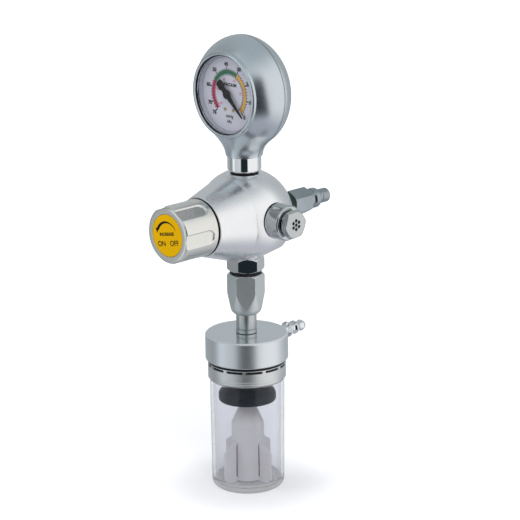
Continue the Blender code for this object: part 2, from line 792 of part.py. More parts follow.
def build_collar():
    """Metal collar that grips the jar's neck, with a ring of slots near its top."""
    bore = JAR_NECK_R + PRESS_FIT
    collar = turned(
        "jar_collar",
        [
            (bore, COLLAR_BOTTOM),
            (bore, JAR_TOP),
            (COLLAR_THREAD_R, JAR_TOP),
            (COLLAR_THREAD_R, COLLAR_TOP),
            (COLLAR_R, COLLAR_TOP),
            (COLLAR_R, COLLAR_BOTTOM + COLLAR_EDGE),
            (COLLAR_R - COLLAR_EDGE, COLLAR_BOTTOM),
        ],
        at(0.0, 0.0, 0.0),
        SIDES_BIG,
        "satin_aluminium",
    )
    slot_top = COLLAR_TOP - SLOT_BELOW_TOP
    for i in range(SLOT_COUNT):
        cut(collar, slot_cutter(i, slot_top - SLOT_HEIGHT))
    ring_r = COLLAR_THREAD_R + GAP
    ring_low = COLLAR_TOP + GAP
    ring_high = ring_low + LID_RING_THICKNESS
    turned(
        "lid_ring",
        [(ring_r, ring_low), (ring_r, ring_high), (LID_RING_R, ring_high), (LID_RING_R, ring_low)],
        at(0.0, 0.0, 0.0),
        SIDES_BIG,
        "black_rubber",
    )


def slot_cutter(index, low):
    """Curved cutter for one slot of the collar."""
    middle = COLLAR_R - SLOT_DEPTH / 2.0 + OVERSHOOT / 2.0
    mesh = bpy.data.meshes.new(f"slot_{index}")
    mesh.from_pydata([(middle, 0.0, low + SLOT_HEIGHT), (middle, 0.0, low)], [(0, 1)], [])
    turn = SLOT_TURN + index * 360.0 / SLOT_COUNT - SLOT_ARC / 2.0
    cutter = place(bpy.data.objects.new(f"slot_{index}", mesh), at(0.0, 0.0, 0.0, UP, turn), None)
    sweep = cutter.modifiers.new("Sweep", "SCREW")
    sweep.angle = math.radians(SLOT_ARC)
    sweep.steps = 2
    sweep.render_steps = 2
    depth = cutter.modifiers.new("Depth", "SOLIDIFY")
    depth.thickness = SLOT_DEPTH + OVERSHOOT
    depth.offset = 0.0
    return cutter


def build_lid():
    """Jar lid with its gasket and the seat that the float closes."""
    thread_bore = COLLAR_THREAD_R + SLIDE_FIT
    stem_bore = STEM_SPIGOT_R + PRESS_FIT
    lid = turned(
        "jar_lid",
        [
            (stem_bore, LID_TOP),
            (stem_bore, LID_CEILING),
            (LID_HEADSPACE_R, LID_CEILING),
            (LID_HEADSPACE_R, LID_SHELF),
            (thread_bore, LID_SHELF),
            (thread_bore, LID_BOTTOM),
            (LID_R - LID_EDGE, LID_BOTTOM),
            (LID_R, LID_BOTTOM + LID_EDGE),
            (LID_R, LID_TOP - LID_EDGE),
            (LID_R - LID_EDGE, LID_TOP),
        ][::-1],
        at(0.0, 0.0, 0.0),
        SIDES_BIG,
        "satin_aluminium",
    )
    barb_z = LID_TOP - BARB_BELOW_TOP
    spigot_end = LID_R - BARB_SPIGOT_LENGTH
    socket_r = BARB_SPIGOT_R + PRESS_FIT
    barb_hole = turned(
        "barb_hole",
        [
            (0.0, LID_R + OVERSHOOT),
            (socket_r, LID_R + OVERSHOOT),
            (socket_r, spigot_end),
            (BARB_BORE_R, spigot_end),
            (BARB_BORE_R, BARB_DROP_Y - BARB_BORE_R),
            (0.0, BARB_DROP_Y - BARB_BORE_R),
        ],
        at(0.0, 0.0, barb_z, BACKWARD),
        SIDES_SMALL,
    )
    drop = rod(
        "barb_drop", BARB_BORE_R, LID_CEILING - OVERSHOOT, barb_z,
        at(0.0, BARB_DROP_Y, 0.0), SIDES_TINY,
    )
    cut(lid, barb_hole, drop)
    gasket_r = COLLAR_THREAD_R
    gasket_in = gasket_r - GASKET_WIDTH
    gasket_top = GASKET_BOTTOM + GASKET_THICKNESS
    turned(
        "lid_gasket",
        [
            (gasket_in, GASKET_BOTTOM),
            (gasket_in, gasket_top),
            (gasket_r, gasket_top),
            (gasket_r, GASKET_BOTTOM),
        ],
        at(0.0, 0.0, 0.0),
        SIDES_BIG,
        "black_rubber",
    )
    seat_top = LID_CEILING - GAP
    spigot_top = LID_TOP - STEM_SPIGOT_DEPTH - GAP
    turned(
        "float_seat",
        [
            (SEAT_BORE_R, SEAT_BOTTOM),
            (SEAT_BORE_R, spigot_top),
            (STEM_SPIGOT_R, spigot_top),
            (STEM_SPIGOT_R, seat_top),
            (SEAT_FLANGE_R, seat_top),
            (SEAT_FLANGE_R, seat_top - SEAT_FLANGE_THICKNESS),
            (SEAT_NOZZLE_R, seat_top - SEAT_FLANGE_THICKNESS),
            (SEAT_NOZZLE_R, SEAT_BOTTOM),
        ],
        at(0.0, 0.0, 0.0),
        SIDES_SMALL,
        "brass",
    )


def build_barb():
    """Hose barb that plugs into the back of the lid."""
    start = LID_R - BARB_SPIGOT_LENGTH + GAP
    root = LID_R + GAP
    outside = [(BARB_SPIGOT_R, start), (BARB_SPIGOT_R, root), (BARB_ROOT_R, root)]
    reach = root + BARB_ROOT_LENGTH
    for bead_r in BARB_BEAD_RS:
        outside += [
            (BARB_NECK_R, reach),
            (bead_r, reach + BARB_BEAD_RISE),
            (bead_r, reach + BARB_BEAD_LAND),
            (BARB_NECK_R, reach + BARB_BEAD_FALL),
        ]
        reach += BARB_BEAD_PITCH
    tip = reach - BARB_BEAD_PITCH + BARB_TIP_LENGTH
    outside[-1] = (BARB_TIP_R, tip)
    profile = [(BARB_BORE_R, start), (BARB_BORE_R, tip)] + outside[::-1]
    barb_z = LID_TOP - BARB_BELOW_TOP
    turned("hose_barb", profile, at(0.0, 0.0, barb_z, BACKWARD), SIDES_SMALL, "chrome")


def build_outlet():
    """Stem, union nut, seal and hexagonal fitting between the body and the lid."""
    spigot_low = LID_TOP - STEM_SPIGOT_DEPTH
    head_low = UNION_BOTTOM + UNION_FLOOR + GAP
    head_high = head_low + STEM_HEAD_HEIGHT
    foot = LID_TOP + GAP
    groove = foot + STEM_FLANGE_HEIGHT
    turned(
        "outlet_stem",
        [
            (STEM_BORE_R, spigot_low),
            (STEM_BORE_R, head_high),
            (OUTLET_MALE_R, head_high),
            (OUTLET_MALE_R, head_low),
            (STEM_R, head_low),
            (STEM_R, groove + STEM_GROOVE_HEIGHT),
            (STEM_GROOVE_R, groove + STEM_GROOVE_HEIGHT),
            (STEM_GROOVE_R, groove),
            (STEM_FLANGE_R, groove),
            (STEM_FLANGE_R, foot),
            (STEM_SPIGOT_R, foot),
            (STEM_SPIGOT_R, spigot_low),
        ],
        at(0.0, 0.0, 0.0),
        SIDES_MID,
        "chrome",
    )
    corner_r = UNION_AF / math.sqrt(3.0)
    hole_r = STEM_R + SLIDE_FIT
    bore_low = UNION_BOTTOM + UNION_FLOOR
    envelope = turned(
        "union_envelope",
        [
            (0.0, UNION_TOP),
            (corner_r - UNION_CORNER_CHAMFER, UNION_TOP),
            (corner_r + GAP, UNION_TOP - UNION_CORNER_CHAMFER),
            (corner_r + GAP, UNION_BOTTOM + UNION_CONE_HEIGHT),
            (UNION_CONE_R, UNION_BOTTOM + UNION_FOOT_RISE),
            (UNION_FOOT_R, UNION_BOTTOM),
            (0.0, UNION_BOTTOM),
        ],
        at(0.0, 0.0, 0.0),
        SIDES_MID,
    )
    bore = turned(
        "union_bore",
        [
            (0.0, UNION_TOP + OVERSHOOT),
            (UNION_BORE_R, UNION_TOP + OVERSHOOT),
            (UNION_BORE_R, bore_low),
            (hole_r, bore_low),
            (hole_r, UNION_BOTTOM - OVERSHOOT),
            (0.0, UNION_BOTTOM - OVERSHOOT),
        ],
        at(0.0, 0.0, 0.0),
        SIDES_MID,
    )
    turn = UNION_HEX_TURN - 90.0
    nut = prism(
        "union_nut", UNION_AF, UNION_BOTTOM - OVERSHOOT, UNION_TOP + OVERSHOOT,
        at(0.0, 0.0, 0.0, UP, turn), "satin_aluminium",
    )
    combine(nut, envelope, "INTERSECT")
    cut(nut, bore)
    seal_low = UNION_TOP + GAP
    seal_high = seal_low + OUTLET_SEAL_THICKNESS
    seal_in = OUTLET_MALE_R + GAP
    turned(
        "outlet_seal",
        [(seal_in, seal_low), (seal_in, seal_high), (OUTLET_SEAL_R, seal_high), (OUTLET_SEAL_R, seal_low)],
        at(0.0, 0.0, 0.0),
        SIDES_MID,
        "black_rubber",
    )
    fitting = chamfered_hex(
        "outlet_nut", OUTLET_AF, OUTLET_BOTTOM, OUTLET_TOP, OUTLET_CHAMFER, OUTLET_CHAMFER,
        at(0.0, 0.0, 0.0, UP, OUTLET_HEX_TURN - 90.0), "chrome",
    )
    male_low = OUTLET_BOTTOM - OUTLET_MALE_LENGTH
    spigot_high = OUTLET_TOP + GAP + OUTLET_SPIGOT_LENGTH
    add(
        fitting,
        rod("outlet_male", OUTLET_MALE_R, male_low, OUTLET_BOTTOM + OVERSHOOT, UP, SIDES_MID),
        rod("outlet_spigot", OUTLET_SPIGOT_R, OUTLET_TOP - OVERSHOOT, spigot_high, UP, SIDES_MID),
    )
    bore_top = spigot_high + OVERSHOOT
    cut(fitting, rod("outlet_bore", STEM_BORE_R, male_low - OVERSHOOT, bore_top, UP, SIDES_SMALL))


def port(name, bore_r, frame, reach, flat_r, far_reach):
    """Flat seat on the ball with a threaded port and a narrow passage to the valve bore.

    From the edge of the seat the ball is cut back to a reach given for far outside it.
    """
    far = 2.0 * BODY_R
    return turned(
        name,
        [
            (0.0, far),
            (max(far, flat_r), far),
            (max(far, flat_r), far_reach),
            (flat_r, reach),
            (bore_r, reach),
            (bore_r, PORT_DEPTH),
            (PORT_R, PORT_DEPTH),
            (PORT_R, VALVE_BORE_R - PORT_R),
            (0.0, VALVE_BORE_R - PORT_R),
        ],
        frame,
        SIDES_MID,
    )


def build_body():
    """Ball-shaped body with its bores, and the seat, poppet and spring inside."""
    centre = at(0.0, 0.0, BODY_Z, FORWARD)
    shoulder_angle = math.degrees(math.asin(BODY_SHOULDER / BODY_R))
    boss_angle = -math.degrees(math.acos(BOSS_R / BODY_R))
    ball = [(0.0, BODY_SHOULDER)]
    ball += arc(0.0, 0.0, BODY_R, BODY_R, shoulder_angle, boss_angle, 8)
    ball += [(BOSS_R, BOSS_EDGE - BOSS_REACH), (BOSS_R - BOSS_EDGE, -BOSS_REACH), (0.0, -BOSS_REACH)]
    body = turned("regulator_body", ball, centre, SIDES_BIG, "satin_aluminium")
    bore_r = DIAPHRAGM_R + SLIDE_FIT
    chamber_low = DIAPHRAGM_SEAT - DIAPHRAGM_CHAMBER_DEPTH
    shank_r = PROBE_SHANK_R + PRESS_FIT
    shank_end = BOSS_REACH - PROBE_SHANK_DEPTH
    foot_far = BODY_FOOT_DROP - (2.0 * BODY_R - BODY_FOOT_R) * BODY_FOOT_SLOPE
    bore = turned(
        "body_bore",
        [
            (0.0, BODY_SHOULDER + OVERSHOOT),
            (bore_r, BODY_SHOULDER + OVERSHOOT),
            (bore_r, DIAPHRAGM_SEAT),
            (DIAPHRAGM_CHAMBER_R, DIAPHRAGM_SEAT),
            (DIAPHRAGM_CHAMBER_R, chamber_low),
            (VALVE_BORE_R, chamber_low),
            (VALVE_BORE_R, -VALVE_BORE_DEPTH),
            (STEM_BORE_R, -VALVE_BORE_DEPTH),
            (STEM_BORE_R, -shank_end),
            (shank_r, -shank_end),
            (shank_r, -BOSS_REACH - OVERSHOOT),
            (0.0, -BOSS_REACH - OVERSHOOT),
        ],
        centre,
        SIDES_BIG,
    )
    cut(
        body,
        bore,
        port(
            "gauge_port", SOCKET_STEM_R + PRESS_FIT, at(0.0, 0.0, BODY_Z),
            BODY_HEAD_RISE, BODY_R, BODY_HEAD_RISE,
        ),
        port(
            "outlet_port", OUTLET_SPIGOT_R + PRESS_FIT, at(0.0, 0.0, BODY_Z, DOWNWARD),
            BODY_FOOT_DROP, BODY_FOOT_R, foot_far,
        ),
        port(
            "relief_port", RELIEF_SPIGOT_R + PRESS_FIT, at(0.0, 0.0, RELIEF_Z, RIGHTWARD),
            BODY_SIDE_REACH, BODY_SIDE_R, 2.0 * BODY_R,
        ),
    )
    seat_r = VALVE_BORE_R - PRESS_FIT
    seat_high = chamber_low - GAP
    seat_low = seat_high - VALVE_SEAT_THICKNESS
    turned(
        "valve_seat",
        [
            (VALVE_SEAT_HOLE_R, seat_low),
            (VALVE_SEAT_HOLE_R, seat_high),
            (seat_r, seat_high),
            (seat_r, seat_low),
        ],
        centre,
        SIDES_SMALL,
        "brass",
    )
    poppet_high = seat_low - GAP
    poppet_low = poppet_high - POPPET_THICKNESS
    stem_end = DIAPHRAGM_SEAT
    turned(
        "valve_poppet",
        [
            (0.0, stem_end),
            (POPPET_STEM_R, stem_end),
            (POPPET_STEM_R, poppet_high),
            (POPPET_R, poppet_high),
            (POPPET_R, poppet_low),
            (0.0, poppet_low),
        ],
        centre,
        SIDES_SMALL,
        "brass",
    )
    coil(
        "valve_spring", VALVE_SPRING_R, VALVE_SPRING_WIRE, VALVE_SPRING_TURNS,
        GAP - VALVE_BORE_DEPTH, poppet_low - GAP, centre, "steel",
    )


def build_diaphragm():
    """Rubber diaphragm and the plate that the regulating spring bears on."""
    centre = at(0.0, 0.0, BODY_Z, FORWARD)
    front = DIAPHRAGM_BACK + DIAPHRAGM_THICKNESS
    rod("diaphragm", DIAPHRAGM_R, DIAPHRAGM_BACK, front, centre, SIDES_MID, "black_rubber")
    plate_back = front + GAP
    plate_front = plate_back + DIAPHRAGM_PLATE_THICKNESS
    rod("diaphragm_plate", DIAPHRAGM_PLATE_R, plate_back, plate_front, centre, SIDES_MID, "satin_aluminium")
    coil(
        "regulating_spring", SPRING_R, SPRING_WIRE, SPRING_TURNS,
        plate_front + GAP, SPRING_SEAT_PLACE - GAP, centre, "steel",
    )


def build_bonnet():
    """Cone in front of the body, which guides the spring seat and holds the spindle."""
    centre = at(0.0, 0.0, BODY_Z, FORWARD)
    base = BODY_SHOULDER + GAP
    base_r = math.sqrt(BODY_R ** 2 - BODY_SHOULDER ** 2)
    skirt_in = DIAPHRAGM_R - BONNET_SKIRT_WALL
    land = BONNET_FRONT - KNOB_RING_THICKNESS + KNOB_RING_STANDS - GAP
    groove_out = KNOB_RING_R + GAP
    groove_in = KNOB_RING_R - KNOB_RING_WIDTH - GAP
    hole_r = SPINDLE_R + SLIDE_FIT
    chamber_end = BONNET_FRONT - BONNET_WALL
    bonnet = turned(
        "bonnet",
        [
            (skirt_in, SKIRT_END),
            (skirt_in, BONNET_SKIRT_DEPTH),
            (SPRING_CHAMBER_R, BONNET_SKIRT_DEPTH),
            (SPRING_CHAMBER_R, chamber_end),
            (hole_r, chamber_end),
            (hole_r, BONNET_FRONT),
            (groove_in, BONNET_FRONT),
            (groove_in, land),
            (groove_out, land),
            (groove_out, BONNET_FRONT),
            (BONNET_FRONT_R, BONNET_FRONT),
            (base_r, base),
            (DIAPHRAGM_R, base),
            (DIAPHRAGM_R, SKIRT_END),
        ],
        centre,
        SIDES_BIG,
        "satin_aluminium",
    )
    keyway_r = SPRING_CHAMBER_R + KEYWAY_DEPTH
    half = KEYWAY_WIDTH / 2.0
    keyway_low = (-keyway_r, -half, BONNET_SKIRT_DEPTH - OVERSHOOT)
    keyway = box("keyways", keyway_low, (keyway_r, half, chamber_end - GAP), centre)
    cut(bonnet, keyway)
    seat_r = SPRING_CHAMBER_R - SLIDE_FIT
    seat_high = SPRING_SEAT_PLACE + SPRING_SEAT_THICKNESS
    seat = turned(
        "spring_seat",
        [
            (hole_r, SPRING_SEAT_PLACE),
            (hole_r, seat_high),
            (SPRING_SEAT_HUB_R, seat_high),
            (seat_r, seat_high - SPRING_SEAT_THICKNESS / 2.0),
            (seat_r, SPRING_SEAT_PLACE),
        ],
        centre,
        SIDES_MID,
        "brass",
    )
    lug_r = keyway_r - SLIDE_FIT
    lug_half = half - SLIDE_FIT
    lug_top = SPRING_SEAT_PLACE + SPRING_SEAT_THICKNESS / 3.0
    lug_root = seat_r - OVERSHOOT
    for name, low_x, high_x in (("lug_right", lug_root, lug_r), ("lug_left", -lug_r, -lug_root)):
        lug_low = (low_x, -lug_half, SPRING_SEAT_PLACE + GAP)
        add(seat, box(name, lug_low, (high_x, lug_half, lug_top), centre))
    ring_low = BONNET_FRONT + KNOB_RING_STANDS - KNOB_RING_THICKNESS
    ring_high = BONNET_FRONT + KNOB_RING_STANDS
    ring_in = KNOB_RING_R - KNOB_RING_WIDTH
    turned(
        "knob_seal_ring",
        [(ring_in, ring_low), (ring_in, ring_high), (KNOB_RING_R, ring_high), (KNOB_RING_R, ring_low)],
        centre,
        SIDES_BIG,
        "black_rubber",
    )


def build_knob():
    """Fluted knob with its spindle, screw and label, turning about the body's front axis."""
    centre = at(0.0, 0.0, BODY_Z, FORWARD)
    bore_r = SPINDLE_R + PRESS_FIT
    spindle_end = SCREW_FLOOR - KNOB_WEB - GAP
    bore_end = SCREW_FLOOR - KNOB_WEB
    head_bore = SCREW_HEAD_R + SLIDE_FIT
    shank_hole = SCREW_SHANK_R + SLIDE_FIT
    label_bore = LABEL_R + GAP
    knob = turned(
        "knob",
        [
            (bore_r, KNOB_REAR),
            (bore_r, bore_end),
            (shank_hole, bore_end),
            (shank_hole, SCREW_FLOOR),
            (head_bore, SCREW_FLOOR),
            (head_bore, LABEL_FLOOR),
            (label_bore, LABEL_FLOOR),
            (label_bore, KNOB_FRONT),
        ]
        + arc(
            KNOB_FACE_R, KNOB_FRONT - KNOB_EDGE, KNOB_R - KNOB_FACE_R, KNOB_EDGE, 90.0, 0.0, 3
        )
        + [(KNOB_R, KNOB_REAR + KNOB_REAR_EDGE), (KNOB_R - KNOB_REAR_EDGE, KNOB_REAR)],
        centre,
        SIDES_BIG,
        "satin_aluminium",
    )
    half = FLUTE_WIDTH / 2.0
    rear = KNOB_REAR + FLUTE_REAR_LAND + half
    outline = [(half, KNOB_FRONT + OVERSHOOT), (-half, KNOB_FRONT + OVERSHOOT)]
    outline += [(x, rear + h) for x, h in (polar(half, 180.0 + 45.0 * i) for i in range(5))]
    floor = KNOB_R - FLUTE_DEPTH
    for i in range(FLUTE_COUNT):
        turn = FLUTE_TURN + 360.0 * i / FLUTE_COUNT
        outward = Matrix.Rotation(math.radians(90.0), 4, "Z") @ Matrix.Rotation(math.radians(90.0), 4, "X")
        frame = centre @ Matrix.Rotation(math.radians(turn), 4, "Z") @ outward
        cut(knob, plate(f"flute_{i}", [outline], floor, floor + 4.0 * FLUTE_DEPTH, frame))
    flange_high = BONNET_FRONT - BONNET_WALL - GAP
    flange_low = flange_high - SPINDLE_FLANGE_THICKNESS
    tap_end = spindle_end - SCREW_SHANK_LENGTH
    turned(
        "spindle",
        [
            (0.0, tap_end),
            (shank_hole, tap_end),
            (shank_hole, spindle_end),
            (SPINDLE_R, spindle_end),
            (SPINDLE_R, flange_high),
            (SPINDLE_FLANGE_R, flange_high),
            (SPINDLE_FLANGE_R, flange_low),
            (SPINDLE_R, flange_low),
            (SPINDLE_R, SPINDLE_INNER_END),
            (0.0, SPINDLE_INNER_END),
        ],
        centre,
        SIDES_SMALL,
        "steel",
    )
    screw_frame = at(0.0, -SCREW_FLOOR - GAP, BODY_Z, FORWARD)
    slotted_screw(
        "knob_screw", SCREW_HEAD_R, SCREW_HEAD_HEIGHT, SCREW_SHANK_R, SCREW_SHANK_LENGTH,
        screw_frame, "steel",
    )
    rod("knob_label", LABEL_R, LABEL_FLOOR + GAP, KNOB_FRONT, centre, SIDES_BIG, "label_yellow")


def build_relief_valve():
    """Relief valve on the body's right: seal, body, poppet, spring and vented cap."""
    centre = at(0.0, 0.0, RELIEF_Z, RIGHTWARD)
    seal_low = BODY_SIDE_REACH + GAP
    seal_high = seal_low + RELIEF_SEAL_THICKNESS
    seal_in = RELIEF_SPIGOT_R + GAP
    turned(
        "relief_seal",
        [(seal_in, seal_low), (seal_in, seal_high), (RELIEF_SEAL_R, seal_high), (RELIEF_SEAL_R, seal_low)],
        centre,
        SIDES_MID,
        "black_rubber",
    )
    low = seal_high + GAP
    high = low + RELIEF_BODY_LENGTH
    groove_high = high + RELIEF_GROOVE_WIDTH
    stub_high = groove_high + RELIEF_STUB_LENGTH
    seat_high = low + RELIEF_SEAT_THICKNESS
    spigot_low = BODY_SIDE_REACH - RELIEF_SPIGOT_LENGTH
    turned(
        "relief_body",
        [
            (PORT_R, spigot_low),
            (PORT_R, seat_high),
            (RELIEF_CHAMBER_R, seat_high),
            (RELIEF_CHAMBER_R, stub_high),
            (RELIEF_STUB_R, stub_high),
            (RELIEF_STUB_R, groove_high),
            (RELIEF_GROOVE_R, groove_high),
            (RELIEF_GROOVE_R, high),
            (RELIEF_BODY_R - RELIEF_BODY_EDGE, high),
            (RELIEF_BODY_R, high - RELIEF_BODY_EDGE),
            (RELIEF_BODY_R, low),
            (RELIEF_SPIGOT_R, low),
            (RELIEF_SPIGOT_R, spigot_low),
        ],
        centre,
        SIDES_MID,
        "chrome",
    )
    cap_low = groove_high + GAP
    cap_high = cap_low + RELIEF_CAP_LENGTH
    bore_high = cap_high - RELIEF_CAP_FACE
    cap = chamfered_hex(
        "relief_cap", RELIEF_CAP_AF, cap_low, cap_high, 2.0 * RELIEF_CAP_CHAMFER, RELIEF_CAP_CHAMFER,
        at(0.0, 0.0, RELIEF_Z, RIGHTWARD, RELIEF_CAP_TURN), "chrome",
    )
    cut(cap, rod("cap_bore", RELIEF_STUB_R + PRESS_FIT, cap_low - OVERSHOOT, bore_high, centre, SIDES_MID))
    vents = [(0.0, 0.0)] + [polar(VENT_RING_R, 360.0 * i / VENT_COUNT) for i in range(VENT_COUNT)]
    for i, (x, y) in enumerate(vents):
        frame = centre @ Matrix.Translation((x, y, 0.0))
        vent_top = cap_high + OVERSHOOT
        cut(cap, rod(f"vent_{i}", VENT_HOLE_R, bore_high - OVERSHOOT, vent_top, frame, SIDES_TINY))
    poppet_low = seat_high + GAP
    poppet_high = poppet_low + RELIEF_POPPET_THICKNESS
    rod("relief_poppet", RELIEF_POPPET_R, poppet_low, poppet_high, centre, SIDES_SMALL, "brass")
    coil(
        "relief_spring", RELIEF_SPRING_R, RELIEF_SPRING_WIRE, RELIEF_SPRING_TURNS,
        poppet_high + GAP, bore_high - GAP, centre, "steel",
    )


def build_probe():
    """Wall probe at the back, with its seal ring."""
    centre = at(0.0, 0.0, BODY_Z, BACKWARD)
    seal_low = BOSS_REACH + GAP
    seal_high = seal_low + PROBE_SEAL_THICKNESS
    seal_in = PROBE_SHANK_R + GAP
    turned(
        "probe_seal_ring",
        [(seal_in, seal_low), (seal_in, seal_high), (PROBE_SEAL_R, seal_high), (PROBE_SEAL_R, seal_low)],
        centre,
        SIDES_SMALL,
        "green_rubber",
    )
    hex_end = PROBE_HEX_START + PROBE_HEX_LENGTH
    neck_end = hex_end + PROBE_NECK_LENGTH
    collar_end = neck_end + PROBE_COLLAR_LENGTH
    waist_end = collar_end + PROBE_WAIST_LENGTH
    tip_end = waist_end + PROBE_TIP_LENGTH
    shank_end = BOSS_REACH - PROBE_SHANK_DEPTH + GAP
    probe = chamfered_hex(
        "probe", PROBE_AF, PROBE_HEX_START, hex_end, PROBE_CHAMFER, PROBE_CHAMFER,
        centre, "zinc_plate",
    )
    spindle = turned(
        "probe_turned",
        [
            (0.0, tip_end),
            (PROBE_TIP_R - PROBE_TIP_EDGE, tip_end),
            (PROBE_TIP_R, tip_end - PROBE_TIP_EDGE),
            (PROBE_TIP_R, waist_end),
            (PROBE_WAIST_R, waist_end - PROBE_TIP_EDGE / 2.0),
            (PROBE_WAIST_R, collar_end),
            (PROBE_COLLAR_R - PROBE_COLLAR_EDGE, collar_end),
            (PROBE_COLLAR_R, collar_end - PROBE_COLLAR_EDGE),
            (PROBE_COLLAR_R, neck_end + PROBE_COLLAR_EDGE),
            (PROBE_COLLAR_R - PROBE_COLLAR_EDGE, neck_end),
            (PROBE_NECK_R, neck_end),
            (PROBE_NECK_R, hex_end - OVERSHOOT),
            (PROBE_SHANK_R, PROBE_HEX_START + OVERSHOOT),
            (PROBE_SHANK_R, shank_end),
            (0.0, shank_end),
        ],
        centre,
        SIDES_SMALL,
    )
    add(probe, spindle)
    cut(
        probe,
        rod("probe_bore", PROBE_BORE_R, shank_end - OVERSHOOT, tip_end + OVERSHOOT, centre, SIDES_SMALL),
    )


def build_gauge_neck():
    """Socket that carries the movement, with the polished collar and its seal."""
    seal_low = HEAD_Z + GAP
    seal_high = seal_low + GAUGE_SEAL_THICKNESS
    bore_r = SOCKET_STEM_R + SLIDE_FIT
    turned(
        "gauge_seal",
        [(bore_r, seal_low), (bore_r, seal_high), (GAUGE_SEAL_R, seal_high), (GAUGE_SEAL_R, seal_low)],
        UP,
        SIDES_MID,
        "black_rubber",
    )
    collar_high = GAUGE_COLLAR_BOTTOM + GAUGE_COLLAR_HEIGHT
    turned(
        "gauge_collar",
        [
            (bore_r, GAUGE_COLLAR_BOTTOM),
            (bore_r, collar_high),
            (GAUGE_COLLAR_R, collar_high),
            (GAUGE_COLLAR_R, GAUGE_COLLAR_BOTTOM + GAUGE_COLLAR_EDGE),
            (GAUGE_COLLAR_R - GAUGE_COLLAR_EDGE, GAUGE_COLLAR_BOTTOM),
        ],
        UP,
        SIDES_MID,
        "chrome",
    )
    stem_low = BODY_Z + PORT_DEPTH + GAP
    block_high = GAUGE_Z - SOCKET_BLOCK_DROP
    block_low = block_high - SOCKET_BLOCK_HEIGHT
    block_front = GAP - BACK_PLATE_REACH
    socket = box(
        "gauge_socket",
        (-SOCKET_HALF_WIDTH, block_front, block_low),
        (SOCKET_HALF_WIDTH, block_front + SOCKET_BLOCK_DEPTH, block_high),
        UP,
        "brass",
    )
    add(socket, rod("socket_stem", SOCKET_STEM_R, stem_low, block_low + OVERSHOOT, UP, SIDES_MID))
    bore_high = block_high - OVERSHOOT
    cut(socket, rod("socket_bore", SOCKET_BORE_R, stem_low - OVERSHOOT, bore_high, UP, SIDES_TINY))
    screw_z = GAUGE_Z - MOVEMENT_SCREW_DROP
    depth = MOVEMENT_SCREW_LENGTH + OVERSHOOT
    for name, x in (("tap_left", -MOVEMENT_SCREW_X), ("tap_right", MOVEMENT_SCREW_X)):
        frame = at(x, block_front, screw_z, FORWARD)
        cut(socket, rod(name, MOVEMENT_SCREW_R + SLIDE_FIT, -depth, OVERSHOOT, frame, SIDES_TINY))


def shell_wall_ball(name, depth):
    """Ball of the housing, set in from its outer surface by a depth, about the dial's axis."""
    radius = BALL_R - depth
    front = BALL_FRONT - depth
    back = BALL_BACK - depth
    profile = [(0.0, front - SEAM_BACK)]
    profile += arc(0.0, -SEAM_BACK, radius, front, 90.0, 0.0, 6)[1:]
    profile += arc(0.0, -SEAM_BACK, radius, back, 0.0, -90.0, 5)[1:-1]
    profile += [(0.0, -SEAM_BACK - back)]
    return turned(name, profile, at(0.0, 0.0, GAUGE_Z, FORWARD), SIDES_BIG)


def housing_outside(name):
    """Ball with its raised window rim, solid."""
    rim_angle = math.degrees(math.acos(RIM_R / BALL_R))
    profile = [
        (0.0, RIM_REACH),
        (RIM_R - RIM_LIP, RIM_REACH),
        (RIM_R, RIM_REACH - RIM_LIP),
    ]
    profile += arc(0.0, -SEAM_BACK, BALL_R, BALL_FRONT, rim_angle, 0.0, 5)
    profile += arc(0.0, -SEAM_BACK, BALL_R, BALL_BACK, 0.0, -90.0, 6)[1:-1]
    profile += [(0.0, -SEAM_BACK - BALL_BACK)]
    return turned(name, profile, at(0.0, 0.0, GAUGE_Z, FORWARD), SIDES_BIG, "silver_housing")


def housing_inside(name):
    """Hollow of the housing, with the window and the ledge that the lens rests on."""
    inner_r = BALL_R - BALL_WALL
    inner_front = BALL_FRONT - BALL_WALL
    inner_back = BALL_BACK - BALL_WALL
    ledge_back = LEDGE_REACH - LEDGE_THICKNESS
    ledge_angle = math.degrees(math.asin((ledge_back + SEAM_BACK) / inner_front))
    lip_r = WINDOW_R + RIM_LIP + OVERSHOOT
    profile = [
        (0.0, RIM_REACH + OVERSHOOT),
        (lip_r, RIM_REACH + OVERSHOOT),
        (WINDOW_R, RIM_REACH - RIM_LIP),
        (WINDOW_R, LEDGE_REACH),
        (LEDGE_R, LEDGE_REACH),
        (LEDGE_R, ledge_back),
    ]
    profile += arc(0.0, -SEAM_BACK, inner_r, inner_front, ledge_angle, 0.0, 3)
    profile += arc(0.0, -SEAM_BACK, inner_r, inner_back, 0.0, -90.0, 4)[1:-1]
    profile += [(0.0, -SEAM_BACK - inner_back)]
    return turned(name, profile, at(0.0, 0.0, GAUGE_Z, FORWARD), SIDES_BIG)


def housing_neck(name):
    """Neck under the ball, with a lip at the bottom."""
    top = NECK_BOTTOM + NECK_LENGTH
    return turned(
        name,
        [
            (0.0, top),
            (NECK_R, top),
            (NECK_R, NECK_BOTTOM + NECK_LIP_HEIGHT),
            (NECK_LIP_R, NECK_BOTTOM + NECK_LIP_HEIGHT / 2.0),
            (NECK_LIP_R, NECK_BOTTOM),
            (0.0, NECK_BOTTOM),
        ],
        UP,
        SIDES_MID,
    )


